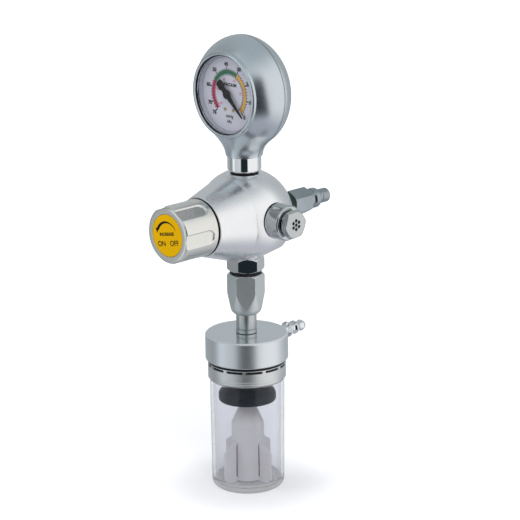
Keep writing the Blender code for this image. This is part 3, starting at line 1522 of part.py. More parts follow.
def housing_half(name, side):
    """One half of the gauge housing; side is -1 for the front and 1 for the back."""
    shell = housing_outside(name)
    add(shell, housing_neck(f"{name}_neck"))
    cut(shell, housing_inside(f"{name}_hollow"))
    bore_high = NECK_BOTTOM + NECK_LENGTH + OVERSHOOT
    cut(shell, rod(f"{name}_bore", NECK_BORE_R, NECK_BOTTOM - OVERSHOOT, bore_high, UP, SIDES_MID))
    screw_hole = SHELL_SCREW_R + SLIDE_FIT
    head_bore = SHELL_SCREW_HEAD_R + SLIDE_FIT
    boss_low = SEAM_BACK - SHELL_BOSS_FRONT
    boss_high = SEAM_BACK + BALL_BACK
    seat_y = SEAM_BACK + SHELL_SCREW_SEAT
    tap_end = seat_y - SHELL_SCREW_LENGTH - GAP
    for place_name, x in (("left", -SHELL_SCREW_PLACE), ("right", SHELL_SCREW_PLACE)):
        frame = at(x, 0.0, GAUGE_Z, BACKWARD)
        boss = rod(f"{name}_boss_{place_name}", SHELL_BOSS_R, boss_low, boss_high, frame, SIDES_SMALL)
        combine(boss, shell_wall_ball(f"{name}_limit_{place_name}", BALL_WALL / 2.0), "INTERSECT")
        add(shell, boss)
        drilling = turned(
            f"{name}_drilling_{place_name}",
            [
                (0.0, boss_high),
                (head_bore, boss_high),
                (head_bore, seat_y),
                (screw_hole, seat_y),
                (screw_hole, tap_end),
                (0.0, tap_end),
            ],
            frame,
            SIDES_SMALL,
        )
        cut(shell, drilling)
    far = 2.0 * BALL_R
    seam_y = SEAM_BACK + side * GAP / 2.0
    low_y = seam_y if side < 0 else seam_y - far
    corner_low = (-far, low_y, NECK_BOTTOM - far)
    corner_high = (far, low_y + far, GAUGE_Z + far)
    cut(shell, box(f"{name}_other_side", corner_low, corner_high))


def build_housing():
    """Front and back shells of the gauge, joined by two long screws."""
    housing_half("gauge_front_shell", -1)
    housing_half("gauge_back_shell", 1)
    seat_y = SEAM_BACK + SHELL_SCREW_SEAT + GAP
    screw_pair(
        "shell_screw", SHELL_SCREW_PLACE, (SHELL_SCREW_HEAD_R, SHELL_SCREW_HEAD_HEIGHT),
        (SHELL_SCREW_R, SHELL_SCREW_LENGTH), at(0.0, seat_y, GAUGE_Z, BACKWARD), "steel",
    )


def build_window():
    """Clear lens and the gasket that it rests on."""
    centre = at(0.0, 0.0, GAUGE_Z, FORWARD)
    edge_r = WINDOW_R - GAP
    gasket_low = LEDGE_REACH + GAP
    gasket_high = gasket_low + GASKET_RING_THICKNESS
    turned(
        "lens_gasket",
        [(LEDGE_R, gasket_low), (LEDGE_R, gasket_high), (edge_r, gasket_high), (edge_r, gasket_low)],
        centre,
        SIDES_BIG,
        "black_rubber",
    )
    lens_low = gasket_high + GAP
    rod("gauge_lens", edge_r, lens_low, lens_low + LENS_THICKNESS, centre, SIDES_BIG, "clear_plastic")


def build_dial():
    """Dial plate, its two screws and the pointer."""
    centre = at(0.0, 0.0, GAUGE_Z, FORWARD)
    dial_back = DIAL_REACH - DIAL_THICKNESS
    screw_hole = DIAL_SCREW_R + SLIDE_FIT
    holes = [circle(DIAL_HOLE_R)]
    holes += [circle(screw_hole, x, -DIAL_SCREW_DROP) for x in (-DIAL_SCREW_X, DIAL_SCREW_X)]
    rim = circle(DIAL_R, sides=SIDES_BIG)
    plate("dial_plate", [rim] + holes, dial_back, DIAL_REACH, centre, "dial_white")
    shank = DIAL_REACH + GAP - FRONT_PLATE_REACH + PLATE_THICKNESS * DIAL_SCREW_GRIP
    screw_pair(
        "dial_screw", DIAL_SCREW_X, (DIAL_SCREW_HEAD_R, DIAL_SCREW_HEAD_HEIGHT),
        (DIAL_SCREW_R, shank), at(0.0, -DIAL_REACH - GAP, GAUGE_Z - DIAL_SCREW_DROP, FORWARD), "brass",
    )
    build_pointer()


def build_pointer():
    """Pointer with a hub that caps the arbor and a round tail weight."""
    frame = at(0.0, 0.0, GAUGE_Z, FORWARD, POINTER_ANGLE)
    low = POINTER_REACH
    high = low + POINTER_THICKNESS
    root = POINTER_ROOT_WIDTH / 2.0
    tip = POINTER_TIP_WIDTH / 2.0
    outline = [(0.0, -root), (POINTER_LENGTH, -tip), (POINTER_LENGTH, tip), (0.0, root)]
    outline += [(-POINTER_TAIL, root), (-POINTER_TAIL, -root)]
    pointer = plate("pointer", [outline], low, high, frame, "pointer_black")
    weight_frame = frame @ Matrix.Translation((-POINTER_TAIL, 0.0, 0.0))
    add(
        pointer,
        rod("pointer_weight", POINTER_WEIGHT_R, low - GAP / 3.0, high + GAP / 3.0, weight_frame, SIDES_SMALL),
        rod("pointer_hub", POINTER_HUB_R, low - GAP, low + POINTER_HUB_HEIGHT - GAP, frame, SIDES_SMALL),
    )
    arbor_end = low + POINTER_THICKNESS
    bore = rod("pointer_bore", ARBOR_R + PIVOT_FIT, low - OVERSHOOT, arbor_end, frame, SIDES_TINY)
    cut(pointer, bore)


def toothed_arc(pitch_r, pitch_angle, first, last, start):
    """Outline points of gear teeth, counter-clockwise from the first to the last tooth."""
    points = []
    root_r = pitch_r - TOOTH_ROOT
    tip_r = pitch_r + TOOTH_TIP
    root_half = math.degrees(TOOTH_ROOT_HALF / root_r)
    tip_half = math.degrees(TOOTH_TIP_HALF / tip_r)
    for tooth in range(first, last + 1):
        middle = start + tooth * pitch_angle
        points.append(polar(root_r, middle - root_half))
        points.append(polar(tip_r, middle - tip_half))
        points.append(polar(tip_r, middle + tip_half))
        points.append(polar(root_r, middle + root_half))
    return points


def pivot_hole(x, y):
    """Outline of a pivot hole in a movement plate."""
    return circle(ARBOR_R + PIVOT_FIT, x, y)


def build_movement():
    """Two plates on pillars, with the pinion's arbor and the toothed sector between them."""
    centre = at(0.0, 0.0, GAUGE_Z, FORWARD)
    front_low = FRONT_PLATE_REACH - PLATE_THICKNESS
    back_high = BACK_PLATE_REACH + PLATE_THICKNESS
    screw_hole = DIAL_SCREW_R + SLIDE_FIT
    pivots = [pivot_hole(0.0, 0.0), pivot_hole(0.0, -GEAR_CENTRES)]
    taps = [circle(screw_hole, x, -DIAL_SCREW_DROP) for x in (-DIAL_SCREW_X, DIAL_SCREW_X)]
    movement_taps = [
        circle(MOVEMENT_SCREW_R + SLIDE_FIT, x, -MOVEMENT_SCREW_DROP)
        for x in (-MOVEMENT_SCREW_X, MOVEMENT_SCREW_X)
    ]
    plate(
        "movement_front_plate", [plate_outline(FRONT_PLATE_FOOT)] + pivots + taps,
        front_low, FRONT_PLATE_REACH, centre, "brass",
    )
    plate(
        "movement_back_plate", [plate_outline(BACK_PLATE_FOOT)] + pivots + movement_taps,
        BACK_PLATE_REACH, back_high, centre, "brass",
    )
    for name, x, y in (
        ("movement_pillar_left", -PILLAR_X, PILLAR_RISE),
        ("movement_pillar_right", PILLAR_X, -PILLAR_DROP),
    ):
        frame = centre @ Matrix.Translation((x, y, 0.0))
        rod(name, PILLAR_R, back_high + GAP, front_low - GAP, frame, SIDES_TINY, "brass")
    screw_z = GAUGE_Z - MOVEMENT_SCREW_DROP
    screw_pair(
        "movement_screw", MOVEMENT_SCREW_X, (MOVEMENT_SCREW_HEAD_R, MOVEMENT_SCREW_HEAD_HEIGHT),
        (MOVEMENT_SCREW_R, MOVEMENT_SCREW_LENGTH), at(0.0, -back_high - GAP, screw_z, FORWARD), "steel",
    )
    build_gears()


def plate_outline(foot):
    """Outline of a movement plate that reaches down to a foot."""
    return [
        (-PLATE_HALF_WIDTH, -foot),
        (PLATE_HALF_WIDTH, -foot),
        (PLATE_HALF_WIDTH, PLATE_TOP),
        (-PLATE_HALF_WIDTH, PLATE_TOP),
    ]


def build_gears():
    """Arbor with its pinion, sector gear, link and hairspring."""
    centre = at(0.0, 0.0, GAUGE_Z, FORWARD)
    gear_high = GEAR_FRONT
    arbor = rod(
        "pointer_arbor", ARBOR_R, BACK_PLATE_REACH, POINTER_REACH + POINTER_THICKNESS - GAP,
        centre, SIDES_TINY, "steel",
    )
    pitch = 360.0 / PINION_TEETH
    teeth = toothed_arc(PINION_PITCH_R, pitch, 0, PINION_TEETH - 1, -90.0 + pitch / 2.0)
    pinion_low = gear_high - SECTOR_THICKNESS / 2.0 - PINION_WIDTH / 2.0
    add(arbor, plate("pinion", [teeth], pinion_low, pinion_low + PINION_WIDTH, centre))
    pivot = centre @ Matrix.Translation((0.0, -GEAR_CENTRES, 0.0))
    outline = toothed_arc(
        SECTOR_PITCH_R, SECTOR_PITCH_ANGLE, -SECTOR_TEETH_BELOW,
        SECTOR_TEETH - SECTOR_TEETH_BELOW - 1, 90.0,
    )
    outline += [polar(SECTOR_HUB_R, angle) for angle in (150.0, 165.0)]
    tail = SECTOR_TAIL_ANGLE
    side = math.degrees(math.atan2(SECTOR_TAIL_HALF, SECTOR_TAIL))
    outline += [polar(SECTOR_TAIL, tail - side), polar(SECTOR_TAIL, tail + side)]
    outline += [polar(SECTOR_HUB_R, angle) for angle in (225.0, 270.0, 315.0, 0.0, 45.0)]
    link_hole = LINK_PIN_R + PIVOT_FIT
    hole_x, hole_y = polar(LINK_HOLE_PLACE, tail)
    sector_low = gear_high - SECTOR_THICKNESS
    sector = plate(
        "sector_gear", [outline, circle(link_hole, hole_x, hole_y)], sector_low, gear_high, pivot, "brass"
    )
    add(
        sector,
        rod("sector_shaft", ARBOR_R, BACK_PLATE_REACH, FRONT_PLATE_REACH, pivot, SIDES_TINY),
    )
    build_link(pivot, hole_x, hole_y, sector_low, gear_high)
    points_a_turn = 10
    count = HAIRSPRING_TURNS * points_a_turn
    spiral_height = BACK_PLATE_REACH + PLATE_THICKNESS + PLATE_SPACING / 4.0
    spiral = []
    for i in range(count + 1):
        radius = HAIRSPRING_INNER_R + (HAIRSPRING_OUTER_R - HAIRSPRING_INNER_R) * i / count
        spiral.append((*polar(radius, 360.0 * i / points_a_turn), spiral_height))
    wire("hairspring", spiral, HAIRSPRING_WIRE, centre, "steel", 0)


def tip_centre():
    """Place of the tube's tip block, across and up from the dial's centre."""
    turn = TUBE_END_ANGLE + math.degrees((TIP_LENGTH / 2.0 + GAP) / TUBE_R)
    return polar(TUBE_R, turn), turn


def build_link(pivot, hole_x, hole_y, sector_low, sector_high):
    """Link from the sector's tail to the tube's tip; its far end stays clear of the tip."""
    (tip_x, tip_y), _ = tip_centre()
    reach_x = tip_x - hole_x
    reach_y = tip_y + GEAR_CENTRES - hole_y
    length = math.hypot(reach_x, reach_y)
    turn = math.degrees(math.atan2(reach_y, reach_x))
    frame = pivot @ Matrix.Translation((hole_x, hole_y, 0.0)) @ Matrix.Rotation(math.radians(turn), 4, "Z")
    outline = [polar(LINK_HALF, angle) for angle in (90.0, 135.0, 180.0, 225.0, 270.0)]
    far_end = [polar(LINK_HALF, angle) for angle in (-90.0, -45.0, 0.0, 45.0, 90.0)]
    outline += [(length + x, y) for x, y in far_end]
    low = sector_high + GAP
    high = low + LINK_THICKNESS
    far_hole = circle(LINK_PIN_R + PIVOT_FIT, length, 0.0)
    link = plate("movement_link", [outline, far_hole], low, high, frame, "brass")
    add(link, rod("link_pin", LINK_PIN_R, sector_low - GAP, low + LINK_THICKNESS / 2.0, frame, SIDES_TINY))


def build_tube():
    """Flattened Bourdon tube round the movement, and the block at its tip."""
    start = -90.0 + math.degrees(math.asin((SOCKET_HALF_WIDTH + GAP) / TUBE_R))
    centre = at(0.0, 0.0, GAUGE_Z, FORWARD)
    bm = bmesh.new()
    ring = bmesh.ops.create_circle(bm, cap_ends=True, segments=SIDES_TINY, radius=1.0)["verts"]
    bmesh.ops.scale(bm, verts=ring, vec=(TUBE_HALF_THICKNESS, TUBE_HALF_WIDTH, 1.0))
    bmesh.ops.rotate(bm, verts=ring, matrix=Matrix.Rotation(math.radians(90.0), 3, "X"))
    bmesh.ops.translate(bm, verts=ring, vec=(TUBE_R, 0.0, -TUBE_BEHIND))
    bmesh.ops.rotate(bm, verts=ring, matrix=Matrix.Rotation(math.radians(start), 3, "Z"))
    bmesh.ops.spin(
        bm, geom=bm.verts[:] + bm.edges[:] + bm.faces[:], axis=(0.0, 0.0, 1.0),
        angle=math.radians(TUBE_END_ANGLE - start), steps=TUBE_STEPS,
    )
    bmesh.ops.recalc_face_normals(bm, faces=bm.faces)
    mesh = bpy.data.meshes.new("bourdon_tube")
    bm.to_mesh(mesh)
    bm.free()
    place(bpy.data.objects.new("bourdon_tube", mesh), centre, "brass")
    (tip_x, tip_y), turn = tip_centre()
    frame = centre @ Matrix.Translation((tip_x, tip_y, 0.0)) @ Matrix.Rotation(math.radians(turn), 4, "Z")
    box(
        "tube_tip",
        (-TIP_WIDTH / 2.0, -TIP_LENGTH / 2.0, -TUBE_BEHIND - TUBE_HALF_WIDTH),
        (TIP_WIDTH / 2.0, TIP_LENGTH / 2.0, GEAR_FRONT),
        frame,
        "brass",
    )


def settle(obj):
    """Freezes an object's modifiers, welds what coincides and marks its hard edges."""
    graph = bpy.context.evaluated_depsgraph_get()
    mesh = bpy.data.meshes.new_from_object(obj.evaluated_get(graph))
    bm = bmesh.new()
    bm.from_mesh(mesh)
    bmesh.ops.remove_doubles(bm, verts=bm.verts, dist=WELD)
    bm.to_mesh(mesh)
    bm.free()
    mesh.shade_smooth()
    mesh.set_sharp_from_angle(angle=math.radians(SMOOTH_ANGLE))
    obj.modifiers.clear()
    obj.data = mesh


clear_scene()
parts = new_collection("vacuum_regulator")
cutters = new_collection("cutters")
build_jar()
build_float()
build_collar()
build_lid()
build_barb()
build_outlet()
build_body()
build_diaphragm()
build_bonnet()
build_knob()
build_relief_valve()
build_probe()
build_gauge_neck()
build_housing()
build_window()
build_dial()
build_movement()
build_tube()
for part in list(parts.objects):
    settle(part)
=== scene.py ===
"""Looks of the vacuum regulator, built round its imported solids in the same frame, in metres."""
import math

import bmesh
import bpy
import numpy as np
from mathutils import Matrix, Vector


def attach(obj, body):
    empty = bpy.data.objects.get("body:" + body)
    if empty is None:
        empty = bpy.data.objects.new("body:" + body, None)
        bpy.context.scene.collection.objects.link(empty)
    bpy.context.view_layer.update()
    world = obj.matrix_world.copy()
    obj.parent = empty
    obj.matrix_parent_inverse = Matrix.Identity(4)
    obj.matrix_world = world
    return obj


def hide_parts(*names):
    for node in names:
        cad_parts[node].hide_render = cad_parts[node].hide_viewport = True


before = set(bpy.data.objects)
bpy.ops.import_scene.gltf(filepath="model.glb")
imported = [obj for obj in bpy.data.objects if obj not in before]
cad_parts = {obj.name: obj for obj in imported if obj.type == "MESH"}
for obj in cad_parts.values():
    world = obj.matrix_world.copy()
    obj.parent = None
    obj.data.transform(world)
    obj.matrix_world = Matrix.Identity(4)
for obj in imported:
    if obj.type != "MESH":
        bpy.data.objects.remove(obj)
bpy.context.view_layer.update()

WELD = 1e-7
BUMP_DEPTH = 0.00004
RAY_LENGTH = 0.06

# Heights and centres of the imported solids
BODY_Z = 0.1887
RELIEF_Z = 0.1907
GAUGE_Z = 0.2723
BARB_Z = 0.1010

UP = Matrix.Identity(4)
DOWNWARD = Matrix.Rotation(math.pi, 4, "X")
FORWARD = Matrix.Rotation(math.radians(90.0), 4, "X")
BACKWARD = Matrix.Rotation(math.radians(-90.0), 4, "X")
RIGHTWARD = Matrix.Rotation(math.radians(90.0), 4, "Y")


def spin(degrees):
    """Turn about +Z."""
    return Matrix.Rotation(math.radians(degrees), 4, "Z")


def at(x, y, z, direction=UP, turn=0.0):
    """Frame at a point, facing a direction, turned in degrees about its own +Z."""
    return Matrix.Translation((x, y, z)) @ direction @ spin(turn)


BODY = at(0.0, 0.0, BODY_Z, FORWARD)
BEHIND = at(0.0, 0.0, BODY_Z, BACKWARD)
DIAL = at(0.0, 0.0, GAUGE_Z, FORWARD)
RELIEF = at(0.0, 0.0, RELIEF_Z, RIGHTWARD)


def mm(*points):
    """Points given in millimetres, in metres."""
    return [tuple(round(value / 1000.0, 12) for value in point) for point in points]


def srgb(*values):
    """Linear colour of a colour given as 0 to 255."""
    shares = [value / 255.0 for value in values]
    return tuple(s / 12.92 if s <= 0.04045 else ((s + 0.055) / 1.055) ** 2.4 for s in shares)


def lighter(colour, share):
    """Colour made lighter or darker by a share."""
    return tuple(min(1.0, c * share) for c in colour) + (1.0,)


def new_object(name, data):
    """Object that is in the scene."""
    obj = bpy.data.objects.new(name, data)
    bpy.context.scene.collection.objects.link(obj)
    return obj


# Materials

class Nodes:
    """Short hand for building one node tree."""

    def __init__(self, tree):
        self.tree = tree
        self.tree.nodes.clear()

    def put(self, socket, value):
        """Sets a socket to a value, or links it to another socket."""
        if isinstance(value, bpy.types.NodeSocket):
            self.tree.links.new(value, socket)
        else:
            socket.default_value = value

    def add(self, kind, settings=None, **inputs):
        """Adds a node; inputs are by number, as i0, or by name, with _ for a space."""
        node = self.tree.nodes.new(kind)
        for key, value in (settings or {}).items():
            setattr(node, key, value)
        for key, value in inputs.items():
            numbered = key[0] == "i" and key[1:].isdigit()
            self.put(node.inputs[int(key[1:]) if numbered else key.replace("_", " ")], value)
        return node

    def place(self):
        """Place on the object, which is also the place in the shared frame."""
        return self.add("ShaderNodeTexCoord").outputs["Object"]

    def split(self, vector):
        """The three parts of a vector."""
        return self.add("ShaderNodeSeparateXYZ", i0=vector).outputs

    def math(self, operation, a, b=0.0):
        """Result of one sum."""
        return self.add("ShaderNodeMath", {"operation": operation}, i0=a, i1=b).outputs[0]

    def spread(self, value, low, high, to_low, to_high):
        """Value mapped from one span to another, and kept inside it."""
        return self.add(
            "ShaderNodeMapRange", {"interpolation_type": "SMOOTHSTEP"}, Value=value,
            From_Min=low, From_Max=high, To_Min=to_low, To_Max=to_high,
        ).outputs["Result"]

    def noise(self, vector, scale, detail=3.0, roughness=0.55):
        """Noise from 0 to 1."""
        return self.add(
            "ShaderNodeTexNoise", Vector=vector, Scale=scale, Detail=detail, Roughness=roughness,
        ).outputs["Fac"]

    def mix(self, share, first, second):
        """Blend of two colours."""
        node = self.add("ShaderNodeMix", {"data_type": "RGBA"}, i0=share, i6=first, i7=second)
        return node.outputs[2]


def new_material(name):
    """Material and its empty node tree."""
    material = bpy.data.materials.new(name)
    material.use_nodes = True
    return material, Nodes(material.node_tree)


def round_place(nodes, place, axis, centre):
    """Place as (distance from an axis, along the axis, 0), for lines left by turning."""
    offset = nodes.add("ShaderNodeVectorMath", {"operation": "SUBTRACT"}, i0=place, i1=centre)
    parts = nodes.split(offset.outputs[0])
    squares = [nodes.math("MULTIPLY", parts[i], parts[i]) for i in range(3) if i != axis]
    distance = nodes.math("SQRT", nodes.math("ADD", *squares))
    return nodes.add("ShaderNodeCombineXYZ", X=distance, Y=parts[axis]).outputs[0]


def surface(name, colour, roughness, metallic, axis=None, centre=(0.0, 0.0, 0.0), lines=0.0,
            grain=0.04, grain_scale=5200.0, variation=0.02, rough_spread=0.014, worn_and_sheen=0.0,
            specular=0.5, top=None):
    """Metal, rubber or moulded plastic with grain, turned lines, blotches and lighter rubbed
    edges, partly wear and partly painted highlight.

    axis and centre are those of the turned lines; top is the roughness of level upper faces.
    """
    material, nodes = new_material(name)
    place = nodes.place()
    blotch = nodes.noise(place, 90.0, 4.0)
    fine = nodes.noise(place, grain_scale, 2.0)
    smear = nodes.noise(place, 420.0, 5.0, 0.65)
    tint = nodes.mix(
        nodes.spread(blotch, 0.35, 0.65, 0.0, 1.0),
        lighter(colour, 1.0 - variation), lighter(colour, 1.0 + variation),
    )
    # Pointy edges made lighter: partly wear, partly a painted highlight along rims and facet
    # edges.
    if worn_and_sheen:
        edge = nodes.add("ShaderNodeNewGeometry").outputs["Pointiness"]
        rubbed_and_sheen = nodes.math(
            "MULTIPLY", nodes.spread(edge, 0.52, 0.60, 0.0, worn_and_sheen),
            nodes.spread(smear, 0.35, 0.6, 0.3, 1.0),
        )
        tint = nodes.mix(rubbed_and_sheen, tint, lighter(colour, 1.35))
    rough = nodes.math(
        "ADD", nodes.spread(smear, 0.3, 0.7, roughness - rough_spread, roughness + rough_spread),
        nodes.spread(fine, 0.3, 0.7, -0.02, 0.02),
    )
    height = nodes.math("MULTIPLY", fine, grain)
    if lines:
        turned_lines = nodes.noise(round_place(nodes, place, axis, centre), 2600.0, 4.0, 0.7)
        height = nodes.math("ADD", height, nodes.math("MULTIPLY", turned_lines, lines))
        rough = nodes.math("ADD", rough, nodes.spread(turned_lines, 0.3, 0.7, -0.03, 0.03))
    if top is not None:
        upward = nodes.split(nodes.add("ShaderNodeNewGeometry").outputs["Normal"])[2]
        rough = nodes.spread(upward, 0.9, 0.98, rough, top)
    bump = nodes.add("ShaderNodeBump", Strength=1.0, Distance=BUMP_DEPTH, Height=height).outputs[0]
    shader = nodes.add("ShaderNodeBsdfPrincipled", Base_Color=tint, Roughness=rough, Normal=bump)
    shader.inputs["Metallic"].default_value = metallic
    shader.inputs["Specular IOR Level"].default_value = specular
    nodes.add("ShaderNodeOutputMaterial", Surface=shader.outputs[0])
    return material


def clear(name, colour, roughness, ior, specular, floor=None):
    """Clear plastic with flow marks; given a floor height, a grey diffuse layer below it and at
    its grazing edges, partly haze in the plastic and partly painted shade.
    """
    material, nodes = new_material(name)
    place = nodes.place()
    flow = nodes.noise(place, 60.0, 3.0)
    scuff = nodes.noise(place, 1500.0, 4.0, 0.7)
    rough = nodes.spread(scuff, 0.45, 0.75, roughness, roughness + 0.05)
    bump = nodes.add("ShaderNodeBump", Strength=0.25, Distance=0.0002, Height=flow).outputs[0]
    tint = nodes.mix(flow, lighter(colour, 0.985), lighter(colour, 1.01))
    glass = nodes.add("ShaderNodeBsdfPrincipled", Base_Color=tint, Roughness=rough, Normal=bump)
    glass.inputs["IOR"].default_value = ior
    glass.inputs["Specular IOR Level"].default_value = specular
    glass.inputs["Transmission Weight"].default_value = 1.0
    body = glass.outputs[0]
    if floor:
        # Grey diffuse layer near the bottom and at grazing edges: partly haze, partly painted
        # shade of the shadowed floor seen through the base.
        height = nodes.split(place)[2]
        white = nodes.mix(flow, lighter(HAZE_AND_SHADE, 1.0), lighter(HAZE_AND_SHADE, 1.06))
        haze_and_shade = nodes.add("ShaderNodeBsdfDiffuse", Color=white).outputs[0]
        slant = nodes.add("ShaderNodeLayerWeight", Blend=0.5).outputs["Facing"]
        haze_and_shade_share = nodes.math(
            "MAXIMUM", nodes.spread(height, floor * 0.5, floor, 0.62, 0.0),
            nodes.spread(slant, 0.45, 0.8, 0.0, 0.2),
        )
        body = nodes.add("ShaderNodeMixShader", i0=haze_and_shade_share, i1=body, i2=haze_and_shade).outputs[0]
    pale = nodes.mix(flow, (0.95, 0.95, 0.95, 1.0), (0.97, 0.97, 0.97, 1.0))
    passing = nodes.add("ShaderNodeBsdfTransparent", Color=pale).outputs[0]
    path = nodes.add("ShaderNodeLightPath").outputs
    share = nodes.math("MAXIMUM", path["Is Shadow Ray"], path["Is Diffuse Ray"])
    both = nodes.add("ShaderNodeMixShader", i0=share, i1=body, i2=passing)
    nodes.add("ShaderNodeOutputMaterial", Surface=both.outputs[0])
    return material


# Grey of the jar's haze and of the painted shade in its base and edges
HAZE_AND_SHADE = (0.58, 0.575, 0.58)
ALUMINIUM = (0.90, 0.905, 0.915)
SILVER = (0.63, 0.685, 0.725)
CHROME = (0.84, 0.85, 0.865)
# Darker copy of the chrome for the relief valve: painted shade.
SHADED_CHROME = (0.54, 0.56, 0.565)
NICKEL = (0.70, 0.735, 0.74)
ZINC = (0.38, 0.425, 0.46)

BARB_AXIS = {"axis": 1, "centre": (0.0, 0.0, BARB_Z)}
RELIEF_AXIS = {"axis": 0, "centre": (0.0, 0.0, RELIEF_Z)}
UP_AXIS = {"axis": 2}
SMOOTH = {"grain": 0.004, "rough_spread": 0.006, "variation": 0.008}
POLISH = {"grain": 0.01, "rough_spread": 0.01, "variation": 0.015, "lines": 0.03}
TURNED = {"grain": 0.02, "variation": 0.04, **UP_AXIS}
RUBBER = {"grain": 0.35, "grain_scale": 3000.0, "variation": 0.1, "rough_spread": 0.05,
          "specular": 0.3}
PRINT = {"variation": 0.05}
BLACK_PRINT = {"variation": 0.1, "specular": 0.05}

# Finish of each look: linear colour, roughness and what marks it
METALS = {
    "body_satin": (ALUMINIUM, 0.27, SMOOTH),
    "knob_satin": ((0.84, 0.83, 0.79), 0.29, {"worn_and_sheen": 0.15, **SMOOTH}),
    "lid_satin": ((0.76, 0.795, 0.82), 0.38, {"lines": 0.02, "top": 0.16, **SMOOTH, **UP_AXIS}),
    # Lighter copy of the lid's metal for its rim ring: a painted highlight.
    "lid_painted_highlight": ((0.95, 0.96, 0.97), 0.5, SMOOTH),
    "collar_turned": ((0.72, 0.735, 0.74), 0.42, {"lines": 0.9, **TURNED}),
    "nut_satin": (NICKEL, 0.46, {"worn_and_sheen": 0.2, "variation": 0.03, "grain": 0.02}),
    "stem_nickel": ((0.56, 0.59, 0.59), 0.34, {"lines": 0.05, **TURNED}),
    "housing_silver": (SILVER, 0.28, SMOOTH),
    "rim_silver": ((0.62, 0.67, 0.71), 0.27, SMOOTH),
    "chrome_up": (CHROME, 0.06, {**UP_AXIS, **POLISH}),
    # Relief valve chrome is darker than the other chrome: painted shade.
    "chrome_side": (SHADED_CHROME, 0.09, {**RELIEF_AXIS, **POLISH}),
    "chrome_back": (CHROME, 0.08, {**BARB_AXIS, **POLISH}),
    "zinc_plate": (ZINC, 0.24, {"worn_and_sheen": 0.5, "variation": 0.05, "rough_spread": 0.04}),
    "steel": ((0.58, 0.59, 0.60), 0.28, {}),
    "brass": ((0.72, 0.53, 0.22), 0.30, {"variation": 0.06}),
    "screw_brass": ((0.36, 0.22, 0.06), 0.35, {"variation": 0.1}),
}
OTHERS = {
    "dial_white": (srgb(202, 202, 213), 0.45, {"specular": 0.4, "variation": 0.012}),
    "dial_wall": (srgb(150, 154, 166), 0.5, {}),
    "black_print": (srgb(20, 20, 28), 0.6, BLACK_PRINT),
    "red_print": (srgb(148, 18, 62), 0.6, PRINT),
    "pink_print": (srgb(206, 120, 150), 0.5, PRINT),
    "green_print": (srgb(0, 88, 54), 0.6, PRINT),
    "amber_print": (srgb(210, 158, 50), 0.5, PRINT),
    "needle_black": (srgb(10, 13, 18), 0.6, BLACK_PRINT),
    "label_yellow": (srgb(230, 178, 0), 0.5, {"specular": 0.04}),
    "black_rubber": (srgb(18, 19, 22), 0.55, RUBBER),
    "seal_rubber": (srgb(2, 17, 29), 0.40, {"variation": 0.1, "specular": 0.05}),
    "green_rubber": (srgb(18, 44, 34), 0.5, RUBBER),
    "seam_dark": (srgb(64, 68, 30), 0.7, {"variation": 0.1, "specular": 0.1}),
    "float_white": (srgb(214, 212, 214), 0.45, {"grain": 0.1}),
    # Darker copy of the float plastic for its grooves: painted shade.
    "float_painted_shade": (srgb(122, 114, 120), 0.6, {}),
}

LOOKS = {}
for finishes, metallic_value in ((METALS, 1.0), (OTHERS, 0.0)):
    for finish_name, (base, base_roughness, marks) in finishes.items():
        LOOKS[finish_name] = surface(finish_name, base, base_roughness, metallic_value, **marks)
LOOKS["jar_clear"] = clear("jar_clear", (0.785, 0.79, 0.82), 0.02, 1.34, 0.10, 0.0075)
LOOKS["lens_clear"] = clear("lens_clear", (0.96, 0.965, 0.975), 0.01, 1.22, 0.06)

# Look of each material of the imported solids, for those that stay
CAD_LOOKS = {
    "satin_aluminium": "nut_satin", "silver_housing": "housing_silver", "chrome": "chrome_up",
    "pointer_black": "needle_black", "clear_plastic": "jar_clear",
}
CAD_LOOKS.update((name, name) for name in (
    "zinc_plate", "steel", "brass", "dial_white", "label_yellow", "black_rubber", "green_rubber",
    "float_white",
))


# Meshes: a part is a pair of vertices and faces

def grid(points, closed_columns=False):
    """Part over a grid of points, whose rows are closed rings."""
    rows, columns = points.shape[:2]
    faces = []
    for i in range(rows if closed_columns else rows - 1):
        a, b = i * columns, ((i + 1) % rows) * columns
        for j in range(columns):
            k = (j + 1) % columns
            faces.append((a + j, a + k, b + k, b + j))
    return points.reshape(-1, 3), faces


def moved(part, place):
    """Part at another place."""
    vertices, faces = part
    return [place @ Vector(v) for v in vertices], faces


def filled(parts):
    """New bmesh with the faces of some parts."""
    bm = bmesh.new()
    for vertices, faces in parts:
        made = [bm.verts.new(Vector(v)) for v in vertices]
        for face in faces:
            bm.faces.new([made[i] for i in face])
    return bm


def mesh_of(name, parts, place=UP):
    """Mesh of some parts, welded, with its faces turned outward."""
    bm = filled(parts)
    bmesh.ops.remove_doubles(bm, verts=bm.verts, dist=WELD)
    bmesh.ops.dissolve_degenerate(bm, edges=bm.edges, dist=WELD)
    bmesh.ops.recalc_face_normals(bm, faces=bm.faces)
    bmesh.ops.transform(bm, matrix=place, verts=bm.verts)
    mesh = bpy.data.meshes.new(name)
    bm.to_mesh(mesh)
    bm.free()
    return mesh


def shade(obj, look, angle):
    """Gives an object its look, smooth but for edges sharper than an angle in degrees."""
    obj.data.materials.clear()
    obj.data.materials.append(LOOKS[look])
    obj.data.shade_smooth()
    obj.data.set_sharp_from_angle(angle=math.radians(angle))


def piece(name, parts, look, slot, node=None, place=UP, body="frame", angle=38.0):
    """Piece of some parts that rides on a body and stands for a node of the solids."""
    obj = new_object(name, mesh_of(name, parts, place))
    shade(obj, look, angle)
    obj.modifiers.new("Normals", "WEIGHTED_NORMAL").keep_sharp = True
    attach(obj, body)
    if node:
        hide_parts(node)
    return obj


